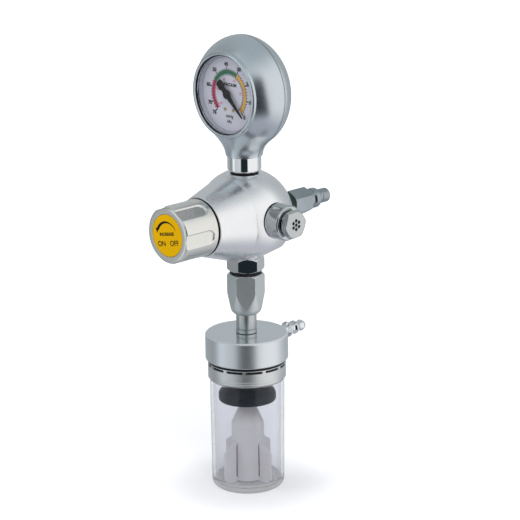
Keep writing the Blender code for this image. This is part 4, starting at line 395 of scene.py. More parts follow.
def soften(profile, size, closed):
    """Profile whose corners are rounded off by a size in metres."""
    points = [Vector(p) for p in profile]
    count, steps = len(points), 4
    made = []
    for i, point in enumerate(points):
        before, after = points[i - 1] - point, points[(i + 1) % count] - point
        end_point = not closed and i in (0, count - 1)
        if end_point or before.angle(after, math.pi) > math.radians(160.0):
            made.append(point)
            continue
        back = min(size, 0.4 * before.length, 0.4 * after.length)
        start, end = point + before.normalized() * back, point + after.normalized() * back
        for step in range(steps + 1):
            share = step / steps
            rest = 1 - share
            made.append(start * rest ** 2 + point * 2 * share * rest + end * share ** 2)
    return [tuple(p) for p in made]


def finer(profile, step, closed):
    """Profile with extra points, so that no stretch is longer than a step."""
    made = []
    count = len(profile)
    for i in range(count if closed else count - 1):
        a, b = np.array(profile[i]), np.array(profile[(i + 1) % count])
        pieces = max(1, int(math.ceil(np.linalg.norm(b - a) / step)))
        made += [tuple(a + (b - a) * k / pieces) for k in range(pieces)]
    if not closed:
        made.append(profile[-1])
    return made


def even_angles(count):
    """Angles round a circle, in radians."""
    return np.linspace(0.0, 2.0 * math.pi, count, endpoint=False)


def lathe(profile, edge, sides=128, limit=None, step=None, is_open=False):
    """Part turned about +Z from (radius, height) points, closed unless it ends on the axis.

    Corners are rounded by edge; limit(angle, height, radius) gives the radius that is kept.
    """
    closed = not is_open and profile[0][0] > 0.0 and profile[-1][0] > 0.0
    points = soften(profile, edge, closed) if edge else profile
    if step:
        points = finer(points, step, closed)
    turn = np.tile(even_angles(sides), (len(points), 1))
    radius, height = (np.repeat(np.array(points)[:, i:i + 1], sides, axis=1) for i in (0, 1))
    if limit is not None:
        radius = limit(turn, height, radius)
    spots = np.stack([radius * np.cos(turn), radius * np.sin(turn), height], axis=-1)
    return grid(spots, closed)


def turned(name, profile, look, slot, node=None, place=UP, body="frame", edge=0.0002, angle=38.0,
           **shape):
    """Piece turned from one profile."""
    return piece(name, [lathe(profile, edge, **shape)], look, slot, node, place, body, angle)


def square_ring(inner, outer, low, high):
    """Profile of a ring with a square section, from millimetres."""
    return mm((inner, low), (inner, high), (outer, high), (outer, low))


def arc(centre_r, centre_h, size, start, end, steps):
    """Points of an arc in a profile, between two angles in degrees."""
    turns = np.radians(np.linspace(start, end, steps + 1))
    return [(centre_r + size * math.cos(t), centre_h + size * math.sin(t)) for t in turns]


def softly_less(a, b, size):
    """Smaller of two values, rounded over where they are nearly equal."""
    h = np.clip(0.5 + 0.5 * (b - a) / size, 0.0, 1.0)
    return b * (1 - h) + a * h - size * h * (1 - h)


def from_nearest(angle, turn, apart):
    """Degrees from the nearest of some even marks, one of which is at a turn."""
    return (np.degrees(angle) - turn + apart / 2.0) % apart - apart / 2.0


def hexagon(across_flats, turn, size=0.00025):
    """Limit that cuts a turned surface to a hexagon with a flat at an angle."""
    def limit(angle, height, radius):
        away = from_nearest(angle, turn, 60.0)
        flat = across_flats / 2.0 / np.cos(np.radians(away))
        return np.where(radius < across_flats * 0.42, radius, softly_less(radius, flat, size))
    return limit


def flat_shape(outline, low, high):
    """Closed flat plate from one outline, between two heights."""
    count = len(outline)
    vertices = [(x, y, low) for x, y in outline] + [(x, y, high) for x, y in outline]
    faces = [tuple(range(count))[::-1], tuple(range(count, 2 * count))]
    faces += [(i, (i + 1) % count, count + (i + 1) % count, count + i) for i in range(count)]
    return vertices, faces


def standing(outline, half, turns):
    """Flat plates that stand on edge across the axis, one at each turn in degrees."""
    plate = flat_shape(outline, -half, half)
    return [moved(plate, spin(turn) @ FORWARD) for turn in turns]


def lettering(text, size, x, y, height, bold, wide=1.0):
    """Letters as a flat mesh, centred on a point."""
    curve = bpy.data.curves.new("letters", "FONT")
    curve.body = text
    curve.size = size
    curve.align_x = "CENTER"
    curve.align_y = "CENTER"
    curve.offset = bold
    curve.resolution_u = 4
    curve.extrude = 0.00001
    sketch = new_object("letters", curve)
    graph = bpy.context.evaluated_depsgraph_get()
    mesh = bpy.data.meshes.new_from_object(sketch.evaluated_get(graph))
    part = [v.co for v in mesh.vertices], [tuple(p.vertices) for p in mesh.polygons]
    part = moved(part, at(x, y, height) @ Matrix.Diagonal((wide, 1.0, 1.0, 1.0)))
    bpy.data.objects.remove(sketch)
    bpy.data.meshes.remove(mesh)
    return part


# Gauge housing: a ball, flattened to the front and back, that flows into the neck below it

BALL_R, BALL_FRONT, BALL_BACK = 0.0372, 0.0276, 0.0218
SEAM_Y = 0.0009
SEAM_HALF = 0.00024
STRIP_HALF = 0.0008
STRIP_DEPTH = 0.00014
NECK_R = 0.0121
NECK_BOTTOM = 0.2300
FILLET = 0.0095
SKIRT_TOP = 0.2435
RIM_R = 0.0282
SHELL_ROWS = 56
SCREW_XS = {"left": -0.0305, "right": 0.0305}
WELL_MOUTH = 0.0030
WELL_FLOOR = 0.0064

# Angles round the ball, closer together over the neck
BALL_ANGLES = np.radians(np.r_[0:226:2, 226:315, 315:360:2])
NECK_ANGLES = even_angles(160)


def housing_distance(p, inset):
    """Rough distance outside the housing, for points as an array of x, y, z."""
    x, y, z = p[..., 0], p[..., 1] - SEAM_Y, p[..., 2] - GAUGE_Z
    depth = np.where(y < 0.0, BALL_FRONT, BALL_BACK)
    across = np.hypot(x, z)
    share = np.hypot(across / BALL_R, y / depth) + 1e-9
    slope = np.hypot(across / BALL_R ** 2, y / depth ** 2) + 1e-9
    ball = share * (share - 1.0) / slope
    neck = np.hypot(p[..., 0], p[..., 1]) - NECK_R
    neck = np.where(z > -0.012, 1.0, neck)
    h = np.clip(FILLET - np.abs(ball - neck), 0.0, None) / FILLET
    return np.minimum(ball, neck) - h * h * FILLET / 4.0 + inset


def housing_rows(levels, axis, angles, inset):
    """Grid of points on the housing, each row at one level along y (1) or z (2)."""
    start = np.zeros((len(levels), len(angles), 3))
    start[..., 2] = GAUGE_Z
    start[..., axis] = levels[:, None]
    way = np.zeros_like(start)
    way[..., 0] = np.cos(angles)
    way[..., 3 - axis] = np.sin(angles)
    low, high = np.zeros(start.shape[:-1]), np.full(start.shape[:-1], RAY_LENGTH)
    for _ in range(40):
        middle = (low + high) / 2.0
        outside = housing_distance(start + way * middle[..., None], inset) > 0.0
        high = np.where(outside, middle, high)
        low = np.where(outside, low, middle)
    return start + way * low[..., None]


def trimmed(points, planes):
    """Grid cut by planes given as (axis, level, side); what lies on that side of each stays."""
    bm = filled([grid(points)])
    for axis, level, side in planes:
        point, normal = Vector(), Vector()
        point[axis], normal[axis] = level, side
        bmesh.ops.bisect_plane(
            bm, geom=bm.verts[:] + bm.edges[:] + bm.faces[:], dist=WELD,
            plane_co=point, plane_no=normal, clear_inner=True,
        )
    bm.verts.index_update()
    part = [v.co.copy() for v in bm.verts], [tuple(v.index for v in f.verts) for f in bm.faces]
    bm.free()
    return part


def shell(ys, planes, inset=0.0):
    """Rows of the ball at some ys, and the neck under it between planes across y."""
    neck_zs = np.linspace(NECK_BOTTOM, SKIRT_TOP, 48)
    ball = trimmed(housing_rows(ys, 1, BALL_ANGLES, inset), [(2, SKIRT_TOP, 1.0)])
    neck = trimmed(housing_rows(neck_zs, 2, NECK_ANGLES, inset), [(2, SKIRT_TOP, -1.0), *planes])
    return ball, neck


def without_wells(part):
    """Part without what lies inside the two screw wells."""
    vertices, faces = part
    kept = []
    for face in faces:
        middle = sum((Vector(vertices[i]) for i in face), Vector()) / len(face)
        height = middle.z - GAUGE_Z
        if all(math.hypot(middle.x - x, height) > WELL_MOUTH for x in SCREW_XS.values()):
            kept.append(face)
    return vertices, kept


def screw_well(x):
    """Sunk well of one housing screw, with a rounded mouth that follows the ball."""
    turns = even_angles(48)
    mouth = mm((4.2, -0.2), (4.0, 0.06), (3.0, 0.06), (2.7, -0.3))
    rows = []
    for radius, lift in mouth + [(0.0027, None), (0.0, None)]:
        px, pz = x + radius * np.cos(turns), radius * np.sin(turns)
        if lift is None:
            y = np.full_like(px, WELL_FLOOR)
        else:
            y = SEAM_Y + BALL_BACK * np.sqrt(1.0 - (px * px + pz * pz) / BALL_R ** 2) + lift
        rows.append(np.stack([px, y, GAUGE_Z + pz], axis=-1))
    return grid(np.array(rows))


def build_housing():
    """Front and back halves of the housing with the dark seam between them."""
    silver = ("housing_silver", "silver_housing")
    rim_y = SEAM_Y - BALL_FRONT * math.sqrt(1.0 - (RIM_R / BALL_R) ** 2)
    front_y, back_y = SEAM_Y - SEAM_HALF, SEAM_Y + SEAM_HALF
    quarter = np.linspace(0.0, 1.0, SHELL_ROWS) * math.pi / 2.0
    ledge = mm((24.6, 11.0), (24.6, 13.9), (26.2, 13.9), (26.2, 15.5), (29.2, 15.5))
    ledge_part = moved(lathe(ledge, 0.0, 180, is_open=True), DIAL)
    front = shell(rim_y + (front_y - rim_y) * np.sin(quarter), [(1, front_y, -1.0)])
    piece("housing_front", [*front, ledge_part], *silver, "gauge_front_shell", angle=42.0)
    rim = mm((28.8, 14.8), *arc(26.8, 17.1, 2.0, 0.0, 90.0, 12), (26.4, 19.0), (26.1, 18.4),
             (26.1, 14.8))
    turned("window_rim", rim, "rim_silver", "silver_housing", place=DIAL, edge=0.0001,
           angle=60.0, sides=180)
    back_ys = back_y + (BALL_BACK - 0.0002) * (1.0 - np.cos(quarter))
    ball, neck = shell(back_ys, [(1, back_y, 1.0)])
    piece("housing_back", [without_wells(ball), neck], *silver, "gauge_back_shell", angle=42.0)
    strip_ys = np.linspace(SEAM_Y - STRIP_HALF, SEAM_Y + STRIP_HALF, 9)
    sides = [(1, strip_ys[0], 1.0), (1, strip_ys[-1], -1.0)]
    piece("housing_seam", shell(strip_ys, sides, STRIP_DEPTH), "seam_dark", "silver_housing")
    for side, x in SCREW_XS.items():
        piece(f"screw_well_{side}", [screw_well(x)], *silver, angle=30.0)
    foot = mm((12.1, 230.0), (10.0, 230.0), (10.0, 240.0), (10.4, 240.0), (12.0, 230.4))
    turned("neck_foot", foot, *silver, edge=0.0)


# Gauge dial: its print and the two scales

PRINT_LOW, PRINT_HIGH = 0.01252, 0.01254
ZERO_ANGLE, SWEEP = 135.0, 270.0
CMHG_FULL, KPA_FULL = 76.0, 101.3
ZONES = {"amber": (0.0, 30.0), "green": (30.0, 55.0), "red": (55.0, 76.0)}


def on_scale(value, full=CMHG_FULL):
    """Angle of a value, clockwise from the top of the dial, in degrees."""
    return ZERO_ANGLE - SWEEP * value / full


def band(inner, outer, start, end, steps):
    """Printed part of a flat ring between two angles, its radii in millimetres."""
    turns = np.radians(np.linspace(start, end, steps + 1))
    outline = [(outer * math.sin(t), outer * math.cos(t)) for t in turns]
    outline += [(inner * math.sin(t), inner * math.cos(t)) for t in turns[::-1]]
    return flat_shape(mm(*outline), PRINT_LOW, PRINT_HIGH)


def mark(value, inner, outer, half):
    """Short printed mark across the scale, half as many degrees to each side of a value."""
    middle = on_scale(value)
    return band(inner, outer, middle - half, middle + half, 1)


def numbers(values, full, size, reach, bold):
    """Numbers set round the dial at a distance from its centre."""
    turns = [(value, math.radians(on_scale(value, full))) for value in values]
    return [
        lettering(str(value), size, reach * math.sin(t), reach * math.cos(t), PRINT_HIGH, bold)
        for value, t in turns
    ]


def dial_print(name, look, parts):
    """Piece of print on the dial."""
    piece(name, parts, look, "dial_white", place=DIAL)


def build_dial_print():
    """Bands, marks, numbers and words of the dial."""
    for zone, (start, end) in ZONES.items():
        part = band(13.30, 15.80, on_scale(start), on_scale(end), 48)
        dial_print(f"dial_band_{zone}", f"{zone}_print", [part])
    labelled = (0, 10, 20, 30, 40, 50, 60, 70, 76)
    dial_print("dial_ticks", "black_print", [mark(v, 15.75, 17.6, 1.6) for v in labelled])
    for zone, (start, end) in ZONES.items():
        teeth = []
        for value in range(0, 77, 2):
            if start <= value < end or value == end == CMHG_FULL:
                teeth += [mark(value, 15.70, 16.7, 1.7), mark(value, 12.2, 13.40, 2.0)]
        look = "black_print" if zone == "amber" else f"{zone}_print"
        dial_print(f"dial_teeth_{zone}", look, teeth)
    words = [
        lettering("VACUUM", 0.0028, 0.0010, 0.0062, PRINT_HIGH, 0.00016),
        lettering("cmHg", 0.0030, 0.0, -0.0146, PRINT_HIGH, 0.00008),
        lettering("kPa", 0.0028, 0.0, -0.0182, PRINT_HIGH, 0.00010),
    ]
    outer = numbers(labelled, CMHG_FULL, 0.0035, 0.0195, 0.00019)
    dial_print("dial_numbers", "black_print", outer + words)
    inner = numbers((20, 40, 60, 80, 100), KPA_FULL, 0.0024, 0.0104, 0.00008)
    dial_print("dial_inner_numbers", "pink_print", inner)


def build_gauge():
    """Lens, its gasket, dial with its print, needle and screws."""
    crown = [(r, 17.45 - 0.35 * (r / 25.5) ** 2) for r in (0, 6, 12, 18, 22, 24.5, 25.5)]
    turned("window_lens", mm(*crown, (25.5, 16.0), (0, 16.0)), "lens_clear", "clear_plastic",
           "gauge_lens", DIAL, edge=0.0001)
    turned("window_gasket", square_ring(25.6, 26.0, 14.4, 18.0), "black_rubber", "black_rubber",
           "lens_gasket", DIAL)
    face = mm((0, 12.5), (23.6, 12.5), (24.4, 12.8), (24.5, 13.7), (24.6, 13.7), (24.6, 12.6),
              (24.0, 11.7), (0, 11.7))
    turned("dial_face", face, "dial_white", "dial_white", "dial_plate", DIAL)
    wall = mm((25.55, 15.4), (23.9, 12.7), (24.3, 12.6), (25.58, 15.2))
    turned("dial_surround", wall, "dial_wall", "dial_white", place=DIAL, edge=0.0001)
    build_dial_print()
    head = mm((0, 0.62), (0.6, 0.6), (1.0, 0.3), (1.0, 0), (0, 0))
    for side, x in (("left", -0.0037), ("right", 0.0037)):
        spot = at(x, -0.0128, GAUGE_Z - 0.0102, FORWARD, 30.0)
        turned(f"dial_screw_head_{side}", head, "screw_brass", "brass", f"dial_screw_{side}",
               spot, edge=0.00015, sides=32)
    blade = mm((19.6, 0.5), (2.4, 1.8), (-5.0, 1.9), (-6.0, 3.0), (-10.4, 2.8), (-11.2, 1.8))
    outline = [(x, -y) for x, y in blade] + blade[::-1]
    hub = mm((0, 15.8), (1.4, 15.8), (2.8, 15.5), (3.0, 15.0), (3.0, 14.1), (0, 14.1))
    piece("needle", [flat_shape(outline, 0.0145, 0.0149), lathe(hub, 0.0002, 48)],
          "needle_black", "pointer_black", "pointer", DIAL @ spin(-45.0), "pointer_body")


def cut(obj, profile, place):
    """Takes a turned shape away from an object."""
    cutter = new_object("cutter", mesh_of("cutter", [lathe(profile, 0.0, 120)], place))
    step = obj.modifiers.new("Cut", "BOOLEAN")
    step.operation = "DIFFERENCE"
    step.solver = "EXACT"
    step.object = cutter
    graph = bpy.context.evaluated_depsgraph_get()
    obj.data = bpy.data.meshes.new_from_object(obj.evaluated_get(graph))
    obj.modifiers.clear()
    bpy.data.objects.remove(cutter)


def build_body():
    """Ball body, the cone in front of it and the collar above."""
    satin = ("body_satin", "satin_aluminium")
    boss_angle = -math.degrees(math.acos(8.6 / 32.0))
    ball = mm((0, 8.0), (24.0, 8.0), (24.0, 18.5), *arc(0, 0, 32.0, 37.0, boss_angle + 4.0, 76),
              (9.5, -31.1), (8.8, -31.8), (8.6, -32.7), (8.6, -35.9), (8.0, -36.5), (5.7, -36.5),
              (5.7, -25.0), (0, -25.0))
    obj = turned("body_ball", ball, *satin, "regulator_body", BODY, edge=0.0, angle=30.0,
                 sides=160)
    obj.modifiers.clear()
    far, foot_r, foot_h, foot_slope = 64.0, 13.2, 26.1, 0.57
    foot = mm((0, far), (far, far), (far, foot_h - (far - foot_r) * foot_slope),
              (foot_r, foot_h), (0, foot_h))
    cut(obj, foot, at(0.0, 0.0, BODY_Z, DOWNWARD))
    cut(obj, mm((0, far), (far, far), (far, 29.4), (0, 29.4)), at(0.0, 0.0, BODY_Z))
    cut(obj, mm((0, far), (12.0, far), (12.0, 28.8), (0, 28.8)), RELIEF)
    sharp = 24.0
    shade(obj, satin[0], sharp)
    rounding = obj.modifiers.new("Rounding", "BEVEL")
    rounding.width = 0.00035
    rounding.segments = 3
    rounding.limit_method = "ANGLE"
    rounding.angle_limit = math.radians(sharp)
    rounding.harden_normals = True
    cone = mm((13.0, 36.2), (13.0, 40.5), (14.6, 41.0), (14.9, 41.0), (14.9, 40.4), (19.1, 40.4),
              (19.1, 41.0), (19.9, 41.0), (27.93, 15.7), (27.0, 15.0), (20.0, 16.0))
    turned("front_cone", cone, *satin, "bonnet", BODY, edge=0.00035, sides=160)
    turned("knob_gasket", square_ring(15.2, 18.8, 40.4, 41.4), "black_rubber", "black_rubber",
           "knob_seal_ring", BODY)
    collar = mm((6.4, 219.5), (6.4, 229.7), (11.26, 229.7), (11.26, 220.7), (10.06, 219.5))
    turned("neck_collar", collar, "chrome_up", "chrome", "gauge_collar", edge=0.0003)
    turned("neck_gasket", square_ring(6.4, 9.5, 218.4, 219.2), "black_rubber", "black_rubber",
           "gauge_seal")


def flutes(angle, height, radius):
    """Limit that cuts six shallow flutes into the knob, round at their rear ends."""
    half, floor, front_of, blend, rim = 0.0046, 0.0177, 0.0503, 0.0007, 0.0150
    away = np.radians(from_nearest(angle, -5.0, 60.0))
    across = np.abs(radius * np.sin(away))
    behind = np.clip(front_of - height, 0.0, None)
    inside = half - np.hypot(across, behind)
    share = np.clip(inside / blend + 0.5, 0.0, 1.0)
    share = share * share * (3.0 - 2.0 * share)
    cut_to = np.minimum(radius, floor / np.cos(away))
    return np.where(radius > rim, radius * (1 - share) + cut_to * share, radius)


def build_knob():
    """Fluted knob with its yellow label and the label's print."""
    rear, front = 41.7, 69.75
    grip = mm((3.5, rear), (3.5, 65.5), (14.1, 65.5), (14.1, front),
              *arc(16.6, front - 2.4, 2.4, 90.0, 0.0, 10), (19.0, rear + 0.6), (18.4, rear))
    turned("knob_grip", grip, "knob_satin", "satin_aluminium", "knob", BODY, "knob_body",
           edge=0.00012, angle=50.0, sides=360, limit=flutes, step=0.0005)
    plate = BODY @ spin(11.0)
    disc = mm((0, front), (13.84, front), (13.84, 69.2), (0, 69.2))
    turned("label_disc", disc, "label_yellow", "label_yellow", "knob_label", plate, "knob_body",
           edge=0.00015)
    low, high = 0.06976, 0.06979
    arrow_r, arrow_drop, points = 0.0096, 0.0008, 40
    turns = np.radians(np.linspace(146.0, 24.0, points))
    wide = np.linspace(0.00105, 0.00014, points)
    edges = [(arrow_r + w, t) for t, w in zip(turns, wide)]
    edges += [(arrow_r - w, t) for t, w in zip(turns[::-1], wide[::-1])]
    tail = [(r * math.cos(t), r * math.sin(t) - arrow_drop) for r, t in edges]
    head = mm((-9.1, 2.1), (-10.1, 5.3), (-6.8, 5.3))
    parts = [
        flat_shape(tail, low, high), flat_shape(head, low, high),
        lettering("INCREASE", 0.0029, -0.0002, 0.0009, high, 0.00011, 1.05),
        lettering("ON", 0.0048, -0.0063, -0.0052, high, 0.00007),
        lettering("OFF", 0.0048, 0.0058, -0.0052, high, 0.00007),
    ]
    piece("label_print", parts, "black_print", "label_yellow", place=plate, body="knob_body")


def build_relief():
    """Relief valve: gasket, barrel, groove and hexagonal cap, whose vent holes are black discs on
    its face as painted shade.
    """
    turned("relief_gasket", square_ring(6.3, 11.4, 29.1, 29.7), "black_rubber", "black_rubber",
           "relief_seal", RELIEF, edge=0.00015)
    barrel = mm((4.2, 33.0), (4.2, 45.5), (5.9, 45.5), (5.9, 42.7), (7.5, 42.7), (7.5, 41.3),
                (10.9, 41.3), (11.7, 40.5), (11.7, 30.0), (6.0, 30.0), (6.0, 21.6), (2.0, 21.6),
                (2.0, 33.0))
    turned("relief_barrel", barrel, "chrome_side", "chrome", "relief_body", RELIEF, edge=0.00035)
    corner = 17.2 / math.sqrt(3.0)
    cap = mm((6.2, 43.0), (6.2, 46.0), (0, 46.0), (0, 47.38), (8.2, 47.4), (8.6, 47.3),
             (corner - 0.6, 46.9), (corner + 0.3, 46.1), (corner + 0.3, 44.0),
             (corner - 1.2, 43.0), (6.2, 43.0))
    turned("relief_nut", cap, "chrome_side", "chrome", "relief_cap", RELIEF, edge=0.0,
           angle=30.0, sides=180, limit=hexagon(0.0172, 6.0), step=0.0004)
    # Black discs just above the cap's face stand for its vent holes: painted shade.
    vent_shade_disc = mm((0, 47.41), (0.98, 47.41), (1.08, 47.46), (1.2, 47.41), (1.2, 47.0), (0, 47.0))
    for index in range(7):
        ring, turn = 0.0 if index == 6 else 0.0029, math.radians(60.0 * index)
        spot = RELIEF @ Matrix.Translation((ring * math.cos(turn), ring * math.sin(turn), 0.0))
        turned(f"relief_vent_shade_{index}", vent_shade_disc, "black_rubber", "chrome", place=spot, edge=0.0,
               sides=24)


def build_probe():
    """Wall probe behind the body with its green ring."""
    turned("probe_gasket", square_ring(6.0, 8.3, 36.8, 40.7), "green_rubber", "green_rubber",
           "probe_seal_ring", BEHIND, edge=0.0006)
    corner = 16.0 / math.sqrt(3.0)
    bar = mm((0, 41.0), (corner - 1.0, 41.0), (corner + 0.3, 41.8), (corner + 0.3, 56.2),
             (corner - 1.0, 57.0), (0, 57.0))
    stem = mm((1.9, 22.5), (1.9, 78.1), (3.4, 78.1), (4.9, 76.6), (4.9, 71.0), (4.3, 70.3),
              (4.3, 67.5), (5.3, 67.5), (6.9, 65.9), (6.9, 62.6), (5.3, 61.0), (6.0, 61.0),
              (6.0, 56.5), (5.7, 41.5), (5.7, 22.5))
    parts = [lathe(bar, 0.0, 180, hexagon(0.0160, 0.0), 0.0005), lathe(stem, 0.0004)]
    piece("probe_stem", parts, "zinc_plate", "zinc_plate", "probe", BEHIND, angle=30.0)


def build_outlet():
    """Hexagonal fitting, union nut and stem between the body and the lid."""
    corner = 22.0 / math.sqrt(3.0)
    bar = mm((0, 151.6), (corner - 1.7, 151.6), (corner + 0.3, 153.0), (corner + 0.3, 159.4),
             (corner - 3.0, 162.3), (0, 162.3))
    spigot = mm((2.5, 140.6), (2.5, 166.9), (7.0, 166.9), (7.0, 161.0), (9.6, 152.0),
                (9.6, 140.6))
    parts = [lathe(bar, 0.0003, 240, hexagon(0.0220, -37.2), 0.0005), lathe(spigot, 0.0003)]
    piece("outlet_hex", parts, "chrome_up", "chrome", "outlet_nut", angle=30.0)
    turned("outlet_gasket", square_ring(9.9, 10.6, 149.7, 151.3), "black_rubber", "black_rubber",
           "outlet_seal")
    nut = mm((7.2, 121.5), (7.2, 133.5), (9.9, 133.5), (9.9, 149.4), (corner - 1.5, 149.4),
             (corner + 0.3, 147.9), (corner + 0.3, 137.6), (10.4, 124.9), (9.6, 123.0),
             (7.8, 121.5))
    turned("union_hex", nut, "nut_satin", "satin_aluminium", "union_nut", edge=0.0005,
           angle=30.0, sides=240, limit=hexagon(0.0220, -44.6, 0.0004), step=0.0005)
    stem = mm((2.5, 103.6), (2.5, 139.8), (9.6, 139.8), (9.6, 133.8), (6.87, 133.8),
              (6.87, 111.6), (6.3, 111.3), (6.3, 111.0), (7.1, 110.8), (7.1, 108.5),
              (6.0, 108.5), (6.0, 103.6))
    turned("stem_pipe", stem, "stem_nickel", "chrome", "outlet_stem")


def slots(angle, height, radius):
    """Limit that sinks twelve slots into the jar collar."""
    middle, half_height, half_angle, rim, floor = 0.0872, 0.0008, 12.0, 0.0258, 0.0251
    inside = np.abs(from_nearest(angle, 26.9, 30.0)) < half_angle
    inside &= (np.abs(height - middle) < half_height) & (radius > rim)
    return np.where(inside, floor, radius)


def collar_profile():
    """Profile of the jar collar, with a chamfer below, two grooves and rows for the slots."""
    heights = (76.9, 77.2, 77.6, 77.9, 78.6, 78.8, 79.0, 79.2, 79.4, 80.4, 80.55, 80.7, 80.85,
               81.0, 82.2, 83.2, 84.2, 85.0, 85.8, 86.39, 86.41, 87.99, 88.01, 88.2, 88.4)
    outer = []
    for h in heights:
        radius = 26.2 - max(0.0, 77.9 - h) - (0.12 if 88.3 < h else 0.0)
        for centre, half, depth in ((79.0, 0.4, 0.24), (80.7, 0.3, 0.16)):
            radius -= depth * max(0.0, 1.0 - abs(h - centre) / half)
        outer.append((radius, h))
    return mm((23.8, 77.0), (23.8, 88.3), (24.9, 88.4), *outer[::-1])


def build_lid():
    """Lid, its joint ring, the slotted collar and the hose barb."""
    top, bottom = 108.2, 90.3
    lid = mm((6.3, top), (6.3, 98.6), (20.0, 98.6), (20.0, 95.2), (25.2, 95.2), (25.2, bottom),
             (27.2, bottom), (27.8, bottom + 0.6), (27.8, top - 1.0), (26.8, top))
    turned("lid_cap", lid, "lid_satin", "satin_aluminium", "jar_lid", edge=0.0003, sides=192)
    # Thin lighter ring on the lid's top rim: a painted highlight.
    bevel = mm((27.85, top - 1.0), (26.8, top + 0.04), (26.6, top - 0.3), (27.4, top - 1.2))
    turned("lid_edge_highlight", bevel, "lid_painted_highlight", "satin_aluminium", edge=0.0001, sides=192)
    # Black ring behind the collar slots: partly the dark rubber behind them and partly painted
    # shade inside the slots.
    turned("collar_slot_shade", square_ring(25.0, 25.45, 86.0, 88.2), "black_rubber", "black_rubber",
           body="jar_body", edge=0.0)
    turned("lid_joint", square_ring(25.2, 26.1, 88.6, 90.2), "black_rubber", "black_rubber",
           "lid_ring", edge=0.0001)
    turned("collar_band", collar_profile(), "collar_turned", "satin_aluminium", "jar_collar",
           body="jar_body", edge=0.0, angle=30.0, sides=360, limit=slots)
    fit, root, end = 20.4, 28.1, 53.9
    barb = [(1.9, fit), (1.9, end), (2.8, end), (3.9, 51.8), (3.9, 51.0), (3.3, 49.7)]
    for low, bead in ((43.2, 4.7), (36.7, 5.4)):
        barb += [(3.3, low + 5.2), (bead, low + 2.1), (bead, low + 1.3), (3.3, low)]
    barb += [(3.6, root), (4.0, root), (4.0, fit)]
    turned("barb_spout", mm(*barb), "chrome_back", "chrome", "hose_barb",
           at(0.0, 0.0, BARB_Z, BACKWARD), edge=0.00035, sides=96)


def build_jar():
    """Clear jar with the float and its rubber seal inside."""
    jar = mm((0, 4.7), *arc(19.5, 7.7, 3.0, -90.0, 0.0, 10), (23.1, 75.7), (21.7, 76.7),
             (21.6, 92.6), (23.5, 92.6), (23.5, 76.6), (25.1, 76.6),
             *arc(19.5, 5.0, 5.0, 0.0, -90.0, 12), (17.0, 0), (16.5, 0.6), (0, 0.6))
    turned("jar_wall", jar, "jar_clear", "clear_plastic", "jar", body="jar_body", angle=45.0,
           sides=160)
    core = mm((0, 69.8), (3.0, 69.8), (3.0, 60.9), (4.0, 60.9), (4.0, 59.9), (11.0, 44.6),
              (11.0, 5.0), (0, 5.0))
    fin = mm((21.0, 7.5), (18.5, 5.0), (-18.5, 5.0), (-21.0, 7.5), (-21.0, 26.2),
             (-20.4, 27.3), (-11.0, 33.0), (11.0, 33.0), (20.4, 27.3), (21.0, 26.2))
    parts = [lathe(core, 0.0008, 96)] + standing(fin, 0.0010, (0.0, 90.0))
    piece("float_shell", parts, "float_white", "float_white", "float_body", body="float_group")
    # Dark strips where the fins meet the float's core: painted shade of the grooves beside the
    # fins.
    strip = mm((10.8, 8.2), (12.2, 8.2), (11.8, 30.4), (10.8, 31.2))
    piece("float_slot_shade", standing(strip, 0.00106, range(0, 360, 90)), "float_painted_shade",
          "float_white", body="float_group")
    seal = mm((0, 75.5), (10.0, 75.5), (15.7, 70.2), (18.8, 67.2), (19.4, 66.0), (19.4, 62.2),
              (18.8, 61.2), (3.3, 61.2), (3.3, 70.0), (0, 70.0))
    turned("float_rubber", seal, "seal_rubber", "black_rubber", "float_seal",
           body="float_group", edge=0.0007)


build_housing()
build_gauge()
build_body()
build_knob()
build_relief()
build_probe()
build_outlet()
build_lid()
build_jar()

# Looks of the solids that stay
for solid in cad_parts.values():
    for index, material in enumerate(solid.data.materials):
        finish = next((k for k in CAD_LOOKS if material and material.name.startswith(k)), "steel")
        solid.data.materials[index] = LOOKS[CAD_LOOKS[finish]]


# Studio

def build_camera():
    """Camera at the photograph's place."""
    data = bpy.data.cameras.new("camera")
    data.sensor_fit = "HORIZONTAL"
    data.sensor_width = 36.0
    data.lens = 158.51
    data.clip_start = 0.05
    data.clip_end = 20.0
    camera = new_object("camera", data)
    camera.matrix_world = Matrix((
        (0.70454156, -0.18630765, 0.68477051, 1.048273),
        (0.7095778, 0.19986888, -0.67568615, -1.020905),
        (-0.01097881, 0.96194693, 0.27301571, 0.573241),
        (0.0, 0.0, 0.0, 1.0),
    ))
    bpy.context.scene.camera = camera


def cool(level):
    """Bluish grey of a level."""
    return (level * 0.93, level, level * 1.035)


def stops(nodes, value, points):
    """Colour read off a row of (place, colour) stops."""
    ramp = nodes.add("ShaderNodeValToRGB", Fac=value)
    elements = ramp.color_ramp.elements
    while len(elements) > 1:
        elements.remove(elements[-1])
    elements[0].position, elements[0].color = points[0][0], (*points[0][1], 1.0)
    for place, colour in points[1:]:
        elements.new(place).color = (*colour, 1.0)
    return ramp.outputs["Color"]


# Levels of the studio round the object: degrees from the camera's side, and colour
PALE = (0.98, 0.98, 0.98)
STUDIO_SIDES = (
    (-180, cool(0.52)), (-125, cool(0.42)), (-105, cool(0.30)), (-90, cool(0.32)),
    (-82, cool(0.96)), (-72, cool(0.96)), (-63, cool(0.64)), (-24, cool(0.72)), (24, PALE),
    (92, PALE), (112, cool(0.57)), (140, cool(0.47)), (180, cool(0.52)),
)
STUDIO_GAP = (0.014, 0.021, 0.025, 1.0)
STUDIO_TOP = (0.48, 0.53, 0.56, 1.0)
STUDIO_BOTTOM = (0.49, 0.50, 0.56, 1.0)
SOFT_LIGHT = (0.60, 0.61, 0.63, 1.0)
WHITE = (1.0, 1.0, 1.0, 1.0)
CAMERA_TURN = 44.6


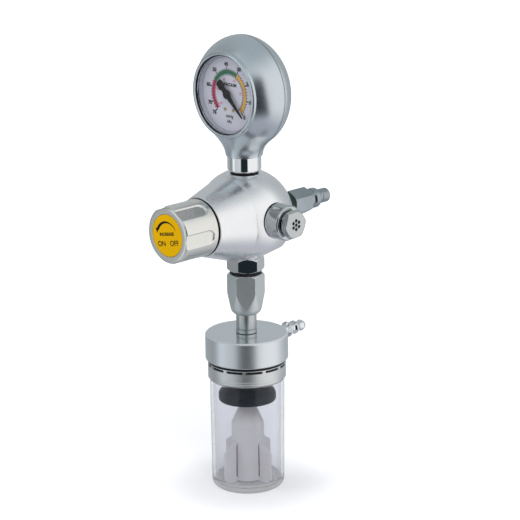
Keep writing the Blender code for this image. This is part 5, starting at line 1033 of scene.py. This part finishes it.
def build_world():
    """Soft studio: pale all round, with a dark gap between the lights towards the front."""
    world = bpy.data.worlds.new("studio")
    bpy.context.scene.world = world
    world.use_nodes = True
    nodes = Nodes(world.node_tree)
    faced = nodes.add(
        "ShaderNodeVectorRotate", {"rotation_type": "Z_AXIS"},
        Vector=nodes.add("ShaderNodeTexCoord").outputs["Generated"],
        Angle=math.radians(CAMERA_TURN),
    )
    parts = nodes.split(faced.outputs[0])
    angle = nodes.math("DIVIDE", nodes.math("ARCTAN2", parts[1], parts[0]), 2.0 * math.pi)
    height = nodes.math("DIVIDE", nodes.math("ARCSINE", parts[2]), math.pi / 2.0)
    widening = nodes.math("ADD", nodes.math("MULTIPLY", height, 1.35), 1.238)
    from_front = nodes.math("ABSOLUTE", nodes.math("MULTIPLY", angle, widening))
    bearing = nodes.math("ADD", angle, 0.5)
    sides = stops(nodes, bearing, [(turn / 360.0 + 0.5, hue) for turn, hue in STUDIO_SIDES])
    low_end = nodes.spread(height, -0.56, -0.42, 0.0, 1.0)
    high_end = nodes.spread(height, 0.26, 0.42, 1.0, 0.0)
    across = nodes.spread(from_front, 21 / 360, 27 / 360, 1.0, 0.0)
    gap = nodes.math("MULTIPLY", nodes.math("MULTIPLY", low_end, high_end), across)
    seen = nodes.mix(gap, sides, STUDIO_GAP)
    seen = nodes.mix(nodes.spread(height, 0.35, 0.85, 0.0, 1.0), seen, STUDIO_TOP)
    seen = nodes.mix(nodes.spread(height, -0.7, -0.28, 1.0, 0.0), seen, STUDIO_BOTTOM)
    path = nodes.add("ShaderNodeLightPath").outputs
    mirrored = nodes.mix(path["Is Glossy Ray"], SOFT_LIGHT, seen)
    white = nodes.math("MAXIMUM", path["Is Camera Ray"], path["Is Transmission Ray"])
    colour = nodes.mix(white, mirrored, WHITE)
    light = nodes.add("ShaderNodeBackground", Color=colour, Strength=1.0)
    nodes.add("ShaderNodeOutputWorld", Surface=light.outputs[0])


def build_floor():
    """White floor that keeps the object's shadow, with a painted shadow where its glow is dimmer
    near the object; metal mirrors the world through it.
    """
    mesh = bpy.data.meshes.new("floor")
    far = 3.0
    corners = [(-far, -far, 0.0), (far, -far, 0.0), (far, far, 0.0), (-far, far, 0.0)]
    mesh.from_pydata(corners, [], [(0, 1, 2, 3)])
    floor = new_object("floor", mesh)
    floor.location.z = -0.0001
    material, nodes = new_material("floor")
    place = nodes.place()
    tint = nodes.mix(nodes.noise(place, 40.0), (0.84, 0.85, 0.87, 1.0), (0.86, 0.87, 0.89, 1.0))
    paint = nodes.add("ShaderNodeBsdfDiffuse", Color=tint).outputs[0]
    away = nodes.add("ShaderNodeVectorMath", {"operation": "LENGTH"}, i0=place).outputs["Value"]
    # Glow is dimmer within a few centimetres of the object, a painted shadow round its foot;
    # farther out it rises so that the far floor stays evenly white.
    painted_shadow_glow = nodes.spread(away, 0.028, 0.075, 0.15, 0.38)
    strength = nodes.math("ADD", painted_shadow_glow, nodes.spread(away, 0.10, 0.8, 0.0, 0.3))
    glow = nodes.add("ShaderNodeEmission", Color=WHITE, Strength=strength)
    both = nodes.add("ShaderNodeAddShader", i0=paint, i1=glow.outputs[0]).outputs[0]
    path = nodes.add("ShaderNodeLightPath").outputs
    seen = nodes.math("MAXIMUM", path["Is Camera Ray"], path["Is Transmission Ray"])
    mixed = nodes.add("ShaderNodeMixShader", i0=seen, i1=paint, i2=both)
    nodes.add("ShaderNodeOutputMaterial", Surface=mixed.outputs[0])
    mesh.materials.append(material)
    floor.visible_glossy = False


def lamp(name, spot, power):
    """Soft area lamp that metal doesn't mirror, aimed at the middle of the object."""
    data = bpy.data.lights.new(name, "AREA")
    data.shape = "DISK"
    data.size = 0.9
    data.energy = power
    obj = new_object(name, data)
    obj.location = spot
    aim = Vector((0.0, 0.0, 0.15)) - Vector(spot)
    obj.rotation_euler = aim.to_track_quat("-Z", "Y").to_euler()
    obj.visible_glossy = False
    obj.visible_camera = False


build_camera()
build_world()
build_floor()
lamp("key", (0.9, -0.5, 1.1), 7.0)
lamp("fill", (-0.8, -0.9, 0.8), 3.0)

bpy.context.scene.view_settings.view_transform = "Standard"
